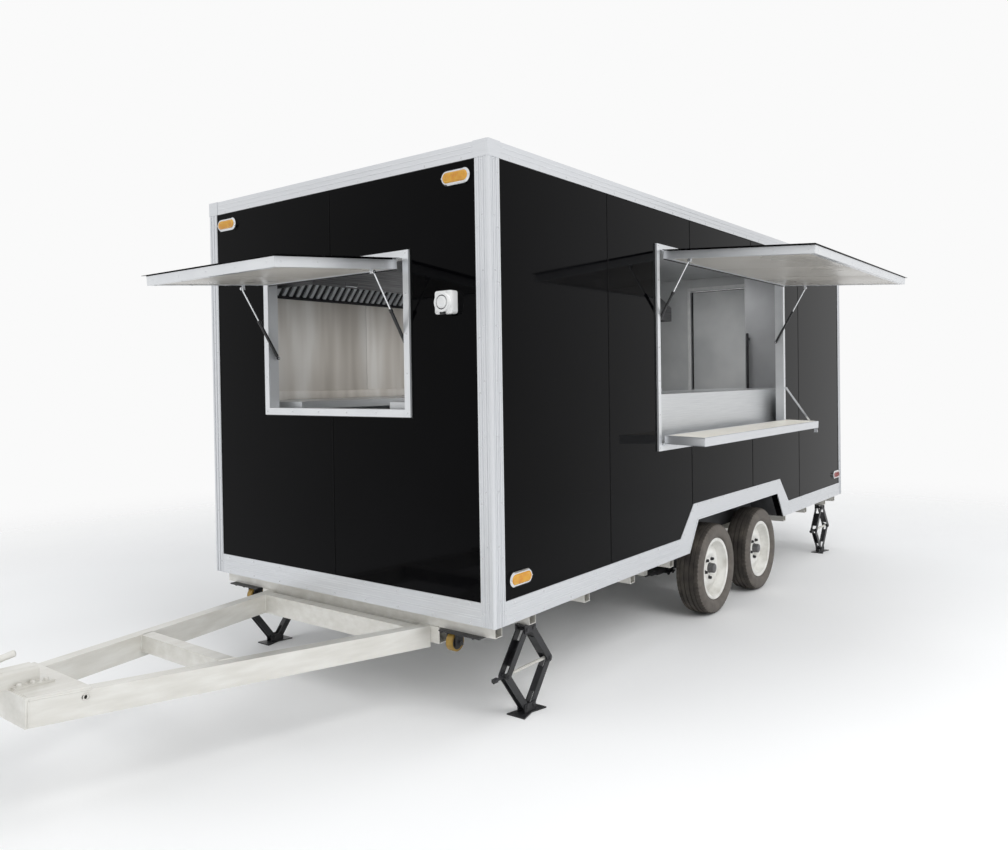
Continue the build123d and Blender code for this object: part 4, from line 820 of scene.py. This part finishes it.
# Lamps: colour, wall, place along it, height; every lens has ribs, every bezel two screws.
LAMP_Y, LAMP_HIGH, LAMP_LOW = 0.825, 2.386, 0.653
LENS_FACE, BEZEL_FACE = 0.0198, 0.0158
lamps = []
for along in (-LAMP_Y, LAMP_Y):
    lamps += [("amber", "front", along, LAMP_HIGH)]
    lamps += [("red", "rear", along, LAMP_HIGH), ("red", "rear", along, LAMP_LOW)]
for wall in ("left", "right"):
    lamps += [("amber", wall, HALF_X - 0.179, LAMP_LOW), ("red", wall, 0.172 - HALF_X, LAMP_LOW)]
ribs = {"amber": bmesh.new(), "red": bmesh.new()}
screws = bmesh.new()
for colour, wall, along, height in lamps:
    for k in range(-6, 7):
        reach = 0.0165 if abs(k) < 5 else 0.011
        rib = (along + k * 0.0085 - 0.0016, along + k * 0.0085 + 0.0016)
        wall_strip(ribs[colour], wall, rib, (height - reach, height + reach), 0.0013, 0.0005, LENS_FACE)
    for sign in (-1, 1):
        wall_rivet(screws, wall, along + sign * 0.0745, height, BEZEL_FACE, 0.0036)
for colour, made in (("amber", amber), ("red", red)):
    piece(f"{colour}_ribs", ribs[colour], f"{colour}_lens", made)
piece("lamp_screws", screws, "chrome", bright_chrome, smooth=40)

# Power inlet: cover ring, hinge and screws, with a dark ring in the groove round the lid and a dark block in
# the notch at its foot, both painted shade.
inlet_low, inlet_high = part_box("power_inlet")
inlet_x, inlet_y, inlet_z = inlet_high.x, (inlet_low.y + inlet_high.y) / 2, (inlet_low.z + inlet_high.z) / 2
cover = placed((inlet_x, inlet_y, inlet_z), FORWARD)
cover_ring = (
    (0.042, -0.012), (0.0428, -0.01), (0.0428, -0.002), (0.0415, 0.0), (0.04, -0.0005), (0.0385, -0.0035),
)
mesh = bmesh.new()
lathe(mesh, cover_ring, cover, 48, ends=False)
lathe(mesh, ((0.024, -0.002), (0.0235, 0.001), (0.02, 0.0022), (0.0195, 0.0006), (0.01, 0.0006)), cover, 36)
for dy in (-0.042, 0.042):
    for dz in (-0.042, 0.042):
        rivet(mesh, (inlet_x - 0.015, inlet_y + dy, inlet_z + dz), FORWARD, 0.004)
hinge = placed((inlet_x - 0.006, inlet_y - 0.02, inlet_z + 0.043), (0, 1, 0))
lathe(mesh, ((0.003, 0.0), (0.0042, 0.001), (0.0042, 0.039), (0.003, 0.04)), hinge, 14)
piece("inlet_cover", mesh, "white_plastic", moulded_white, smooth=40)
mesh = bmesh.new()
# Dark ring at the bottom of the groove round the lid: painted shade in the recess.
lathe(mesh, ((0.032, -0.0062), (0.032, -0.0052), (0.027, -0.0052), (0.027, -0.0062)), cover, 40, ends=False)
# Dark block set into the notch under the cover: painted shade in the notch.
notch_shade_low = (inlet_x - 0.02, inlet_y - 0.012, inlet_low.z - 0.004)
slab(mesh, notch_shade_low, (inlet_x - 0.002, inlet_y + 0.012, inlet_low.z + 0.009), 0.002)
piece("inlet_groove_painted_shade", mesh, "black_steel", black_steel_and_painted_shade)


# Drawbar: welds, bolts and the coupler's fittings

TAPER = 0.269
BEAM, DEPTH, CROSS = 0.06, 0.095, 0.06
NOSE, TIP, EYE_X = 1.31, 1.5, 1.325
tongue = Matrix.Translation(at(HALF_X, 0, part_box("chassis_rails")[1].z))
tongue = tongue @ Matrix.Rotation(radians(-1.83), 4, "Y")


def tongue_half(x):
    """Half the drawbar's outer width at a place along it."""
    return 0.575 - TAPER * x


def bead(mesh, start, end, radius, pitch=0.007):
    """A weld on the drawbar: overlapping ripples along a line, made as one ridged bar."""
    start, end = Vector(start), Vector(end)
    length = (end - start).length
    count = max(3, int(length / pitch) * 2)
    ripples = [(radius * (1.0 if k % 2 else 0.82), length * k / count) for k in range(1, count)]
    profile = [(radius * 0.35, 0.0), *ripples, (radius * 0.35, length)]
    lathe(mesh, profile, tongue @ placed(start, end - start), 8)


mesh = bmesh.new()
for middle, height in ((0.005, DEPTH), (0.81, 0.07)):
    back, ahead = middle - CROSS / 2, middle + CROSS / 2
    for sign in (-1, 1):
        for x in (back, ahead):
            y = sign * (tongue_half(x) - BEAM)
            if x > 0:
                bead(mesh, (x, y, -0.003), (x, y, 0.003 - height), 0.0038)
        if back > 0:
            start = (back, sign * (tongue_half(back) - BEAM), 0)
            bead(mesh, start, (ahead, sign * (tongue_half(ahead) - BEAM), 0), 0.0034)
for sign in (-1, 1):
    bead(mesh, (NOSE, sign * tongue_half(NOSE), 0.0), (TIP, sign * tongue_half(TIP), 0.0), 0.0038)
    corner_y = sign * (tongue_half(TIP) + 0.001)
    bead(mesh, (TIP, corner_y, -0.003), (TIP, corner_y, 0.003 - DEPTH), 0.0034)
bead(mesh, (NOSE, BEAM - tongue_half(NOSE), 0.002), (NOSE, tongue_half(NOSE) - BEAM, 0.002), 0.0036)
bead(mesh, (TIP, -tongue_half(TIP), 0.01), (TIP, tongue_half(TIP), 0.01), 0.003)
piece("drawbar_welds", mesh, "galvanised", zinc, smooth=50)

# Coupler: bolts, latch pin, bushes of the chain holes and the lever's grip.
latch_x = TIP + 0.185 - 0.038 - 0.05
bush = ((0.009, 0.0), (0.0135, 0.0004), (0.014, 0.0022), (0.0115, 0.003), (0.0092, 0.0016))
grip = (
    (0.0095, -0.052), (0.0125, -0.049), (0.0118, -0.03), (0.0125, -0.014), (0.0125, 0.001), (0.009, 0.005),
)
mesh = bmesh.new()
for sign in (-1, 1):
    for x in (1.39, 1.435, 1.48):
        hex_bolt(mesh, (x, sign * 0.053, 0.018), (0, 0, 1), 0.0095, 0.01, tongue)
    hex_bolt(mesh, (latch_x, sign * 0.013, 0.086), (0, sign, 0), 0.007, 0.006, tongue)
    normal = Vector((TAPER, sign, 0)).normalized()
    spot = Vector((EYE_X, sign * tongue_half(EYE_X), -0.024)) + normal * 0.0005
    lathe(mesh, bush, placed(spot, normal, tongue), 24, ends=False)
lathe(mesh, grip, tongue @ placed((latch_x - 0.12, 0, 0.122), (-0.98, 0, 0.196)), 18)
piece("coupler_bolts", mesh, "galvanised", zinc, smooth=40)

# Jacks: screw threads, pin heads and bolts.
JACK_Y, JACK_TOP, JACK_FOOT, JACK_ARM, EAR = 0.915, 0.382, 0.03, 0.222, 0.025
JACK_MID = (JACK_TOP + JACK_FOOT) / 2
JACK_REACH = EAR + sqrt(JACK_ARM ** 2 - (JACK_TOP - JACK_MID) ** 2)
THREAD = 0.005
start, end = 0.016 - JACK_REACH, JACK_REACH - 0.016
thread = [(0.0068, 0.0)]
for k in range(int((end - start) / THREAD)):
    thread += [(0.0084, THREAD * k + 0.0015), (0.0084, THREAD * k + 0.0022), (0.0069, THREAD * k + 0.0045)]
pin_head = ((0.01, -0.001), (0.01, 0.002), (0.008, 0.0036), (0.004, 0.0042))
# Pin heads: place along, height, distance out from the jack's middle.
pin_heads = (
    (EAR, JACK_TOP, 0.0285), (-EAR, JACK_TOP, 0.0285), (EAR, JACK_FOOT, 0.0225), (-EAR, JACK_FOOT, 0.0225),
    (JACK_REACH, JACK_MID, 0.0235), (-JACK_REACH, JACK_MID, 0.0235),
)
mesh = bmesh.new()
pins = bmesh.new()
for jack_x in (HALF_X - 0.33, 0.345 - HALF_X):
    for jack_y in (-JACK_Y, JACK_Y):
        lathe(mesh, thread, placed(at(jack_x + start, jack_y, JACK_MID), FORWARD), 12)
        for way in (-1, 1):
            for dx, z, out in pin_heads:
                lathe(pins, pin_head, placed(at(jack_x + dx, jack_y + way * out, z), (0, way, 0)), 16)
            hex_bolt(pins, at(jack_x, jack_y + way * 0.014, 0.4006), DOWN, 0.0075, 0.005)
piece("jack_threads", mesh, "galvanised", zinc, smooth=40)

# Casters: axle nuts and bracket bolts, and a face on each side of the wheel.
CASTER_X, CASTER_Y, CASTER_Z = HALF_X - 0.06, 0.723, 0.356
caster_face = (
    (0.0085, 0.0172), (0.013, 0.0178), (0.0145, 0.0172), (0.028, 0.0172), (0.03, 0.0178), (0.033, 0.0172),
    (0.0335, 0.0165),
)
for caster, sign in (("left_caster", 1), ("right_caster", -1)):
    mesh = bmesh.new()
    hub = placed(at(CASTER_X, sign * CASTER_Y, CASTER_Z), (0, 1, 0))
    for way, turn in ((-1, pi), (1, 0)):
        lathe(mesh, caster_face, hub @ Matrix.Rotation(turn, 4, "X"), 32, ends=False)
        hex_bolt(pins, at(CASTER_X, sign * CASTER_Y + way * 0.028, CASTER_Z), (0, way, 0), 0.01, 0.009)
    for dx in (-0.028, 0.028):
        for dy in (-0.048, 0.06, 0.13):
            hex_bolt(pins, at(CASTER_X + dx, sign * (CASTER_Y + dy), 0.4), DOWN, 0.0075, 0.006)
    piece(f"{caster}_faces", mesh, "caster_tread", black_steel_and_painted_shade, body=caster, smooth=40)
piece("jack_pins", pins, "black_steel", black_steel_and_painted_shade, smooth=40)

# Springs: clamp plates and U-bolts.
AXLE_Z, AXLE_HALF, SPRING_Y = 0.288, 0.3825, 0.61
U_HALF, U_WIRE = 0.038, 0.0055
u_line = ((-U_HALF, -0.075), (-U_HALF, 0.02), (-0.03, 0.028), (0.03, 0.028), (U_HALF, 0.02), (U_HALF, -0.075))
mesh = bmesh.new()
for axle_x in (ARCH_X - 0.03 + AXLE_HALF, ARCH_X - 0.03 - AXLE_HALF):
    for spring_y in (-SPRING_Y, SPRING_Y):
        low = (axle_x - 0.055, spring_y - 0.048, AXLE_Z - 0.063)
        block(mesh, low, (axle_x + 0.055, spring_y + 0.048, AXLE_Z - 0.055), 0.002)
        for bolt_x in (axle_x - 0.032, axle_x + 0.032):
            rings = []
            for (y, z), before, after in zip(u_line, u_line[:1] + u_line, u_line[1:] + u_line[-1:]):
                way = Vector((0, after[0] - before[0], after[1] - before[1])).normalized()
                side = way.cross(Vector(FORWARD))
                centre = at(bolt_x, spring_y + y, AXLE_Z + z)
                rings.append([centre + U_WIRE * (c * Vector(FORWARD) + s * side) for c, s in circle(10)])
            loft(mesh, rings)
            for dy in (-U_HALF, U_HALF):
                hex_bolt(mesh, at(bolt_x, spring_y + dy, AXLE_Z - 0.063), DOWN, 0.0095, 0.009)
piece("spring_clamps", mesh, "black_steel", black_steel_and_painted_shade, smooth=40)

# Rear door: edge trim with rivets, lock and handle screws.
DOOR_EDGE = 0.03
door_out = DOOR_FACE + 0.006
y0, y1 = 0.012 - DOOR_HALF, DOOR_HALF - 0.007
z0, z1 = DOOR_LOW + 0.012, DOOR_HIGH - 0.007
mesh = bmesh.new()
for low, high in (
    ((y0, z0), (y0 + DOOR_EDGE, z1)), ((y1 - DOOR_EDGE, z0), (y1, z1)),
    ((y0 + DOOR_EDGE, z0), (y1 - DOOR_EDGE, z0 + DOOR_EDGE)),
    ((y0 + DOOR_EDGE, z1 - DOOR_EDGE), (y1 - DOOR_EDGE, z1)),
):
    block(mesh, (door_out - 0.002, *low), (door_out, *high))
for level in spaced(z0 + 0.05, z1 - 0.05, 0.2):
    for y in (y0 + DOOR_EDGE / 2, y1 - DOOR_EDGE / 2):
        rivet(mesh, at(door_out - 0.002, y, level), BACKWARD, 0.004)
piece("door_edges", mesh, "trim_aluminium", alu_plain, body="rear_door", smooth=40)
plate_x, plate_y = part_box("door_handle")[1].x - 0.008, middle_y + DOOR_HALF - 0.075
mesh = bmesh.new()
lock = ((0.0095, -0.001), (0.0095, 0.003), (0.008, 0.0045), (0.003, 0.0045))
lathe(mesh, lock, placed((plate_x, plate_y, 1.0), BACKWARD), 24)
for level in (0.984, 1.116):
    rivet(mesh, (plate_x, plate_y, level), BACKWARD, 0.0042)
piece("door_lock", mesh, "chrome", bright_chrome, body="rear_door", smooth=40)

# Gas struts: wiper ring at the cylinder's mouth and a cap above the lower eye.
CYLINDER = 0.008
eye_cap = ((0.0045, 0.009), (0.0075, 0.011), (0.0086, 0.015), (0.0086, 0.022), (0.008, 0.024))
for name, across in (("side", Vector((0.979, 0, 0))), ("front", Vector((0, 0.477, 0)))):
    pivot = Vector(joints[f"{name}_strut_turn"]["pos_m"])
    way = Vector(joints[f"{name}_strut_stroke"]["axis"])
    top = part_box(f"{name}_strut_cylinders")[1].z
    length = (top - pivot.z - CYLINDER * sqrt(1 - way.z ** 2)) / way.z
    wiper = ((0.0083, -0.016), (0.0094, -0.014), (0.0094, -0.002), (0.007, 0.0015), (0.0046, 0.002))
    mesh = bmesh.new()
    for sign in (-1, 1):
        base = placed(pivot + sign * across, way)
        lathe(mesh, [(radius, length + past) for radius, past in wiper], base, 20, ends=False)
        lathe(mesh, eye_cap, base, 20, ends=False)
    piece(f"{name}_strut_rings", mesh, "black_steel", strut_black, body=f"{name}_strut_cylinders", smooth=40)


# Camera at the photograph's place: found from the body's corners in the picture

PHOTO_WIDTH, PHOTO_HEIGHT = 1008, 850
FOCAL_PIXELS, OPTICAL_ROW = 842.825, 392.13
YAW, PITCH, ROLL = 217.543, -0.791, -0.856
lens = bpy.data.cameras.new("photo_camera")
lens.sensor_width = 36
lens.lens = FOCAL_PIXELS / PHOTO_WIDTH * lens.sensor_width
lens.shift_y = -(PHOTO_HEIGHT / 2 - OPTICAL_ROW) / PHOTO_WIDTH
lens.clip_start = 0.05
lens.clip_end = 200
camera = add_object("photo_camera", lens)
pose = Matrix.Translation(at(5.2412, 3.1834, 1.5113))
for angle, axis in ((YAW - 90, "Z"), (90 + PITCH, "X"), (ROLL, "Z")):
    pose = pose @ Matrix.Rotation(radians(angle), 4, axis)
camera.matrix_world = pose
scene.camera = camera


# Studio: pale floor that fades into the background, soft light

FLOOR_REACH, FADE_START, FADE_END = 16.0, 3.0, 9.0


def studio_floor():
    """A round floor under the part, clear at its far edge."""
    mesh = bmesh.new()
    mesh.faces.new([mesh.verts.new((FLOOR_REACH * c, FLOOR_REACH * s, -0.0005)) for c, s in circle(96)])
    made = finish(
        "floor_paint", ((247, 247, 247), (250, 250, 250)), (0.6, 2), (0.7, 0.8), ((80, 2), 0.03, 0.001),
        specular=0.1)
    tree = made.node_tree
    link = tree.links.new
    coords = add_node(tree, "ShaderNodeTexCoord")
    distance = add_node(tree, "ShaderNodeVectorMath")
    distance.operation = "LENGTH"
    fade = add_node(tree, "ShaderNodeMapRange", From_Min=FADE_START, From_Max=FADE_END)
    fade.interpolation_type = "SMOOTHERSTEP"
    clear = add_node(tree, "ShaderNodeBsdfTransparent")
    mixed = add_node(tree, "ShaderNodeMixShader")
    link(coords.outputs["Object"], distance.inputs[0])
    link(distance.outputs["Value"], fade.inputs["Value"])
    link(fade.outputs["Result"], mixed.inputs["Fac"])
    link(tree.nodes["Principled BSDF"].outputs["BSDF"], mixed.inputs[1])
    link(clear.outputs["BSDF"], mixed.inputs[2])
    link(mixed.outputs["Shader"], tree.nodes["Material Output"].inputs["Surface"])
    add_mesh("studio_floor", mesh, (made,))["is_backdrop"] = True


studio_floor()

# Soft light from all round, with a pale background where it is seen, mirrored or looked through.
world = bpy.data.worlds.new("studio")
world.use_nodes = True
sky = world.node_tree
link = sky.links.new
soft = sky.nodes["Background"]
set_levels(soft, Color=(0.96, 0.98, 1.0, 1.0), Strength=0.62)
pale = add_node(sky, "ShaderNodeBackground", Color=srgb(250, 250, 250), Strength=1.0)
rays = add_node(sky, "ShaderNodeLightPath")
seen = add_node(sky, "ShaderNodeMath")
shown = add_node(sky, "ShaderNodeMath")
seen.operation = shown.operation = "MAXIMUM"
choose = add_node(sky, "ShaderNodeMixShader")
link(rays.outputs["Is Camera Ray"], seen.inputs[0])
link(rays.outputs["Is Glossy Ray"], seen.inputs[1])
link(seen.outputs[0], shown.inputs[0])
link(rays.outputs["Is Transmission Ray"], shown.inputs[1])
link(shown.outputs[0], choose.inputs["Fac"])
link(soft.outputs["Background"], choose.inputs[1])
link(pale.outputs["Background"], choose.inputs[2])
link(choose.outputs["Shader"], sky.nodes["World Output"].inputs["Surface"])
scene.world = world

# Lights: name, place, aim, size, power.
lights = (
    ("key", (3.6, 7.6, 7.0), (0.5, 0.2, 1.2), 6.0, 440),
    ("fill", (8.5, -3.5, 4.5), (2.0, 0.0, 1.4), 5.0, 130),
    ("top", (-1.0, 1.0, 9.0), (0.0, 0.0, 1.0), 8.0, 240),
    ("cabin_front", (1.3, 0.5, 2.08), (1.0, -0.95, 1.5), 0.7, 11),
    ("cabin_rear", (-1.0, 0.1, 2.42), (-1.1, 0.0, 0.5), 1.0, 15),
)
for name, place, aim, size, power in lights:
    light = bpy.data.lights.new(name, "AREA")
    light.size = size
    light.energy = power
    thing = add_object(name, light)
    thing.location = at(*place)
    thing.rotation_mode = "QUATERNION"
    thing.rotation_quaternion = (at(*aim) - at(*place)).to_track_quat("-Z", "Y")
    thing.visible_glossy = False

scene.view_settings.view_transform = "Standard"

low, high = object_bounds()
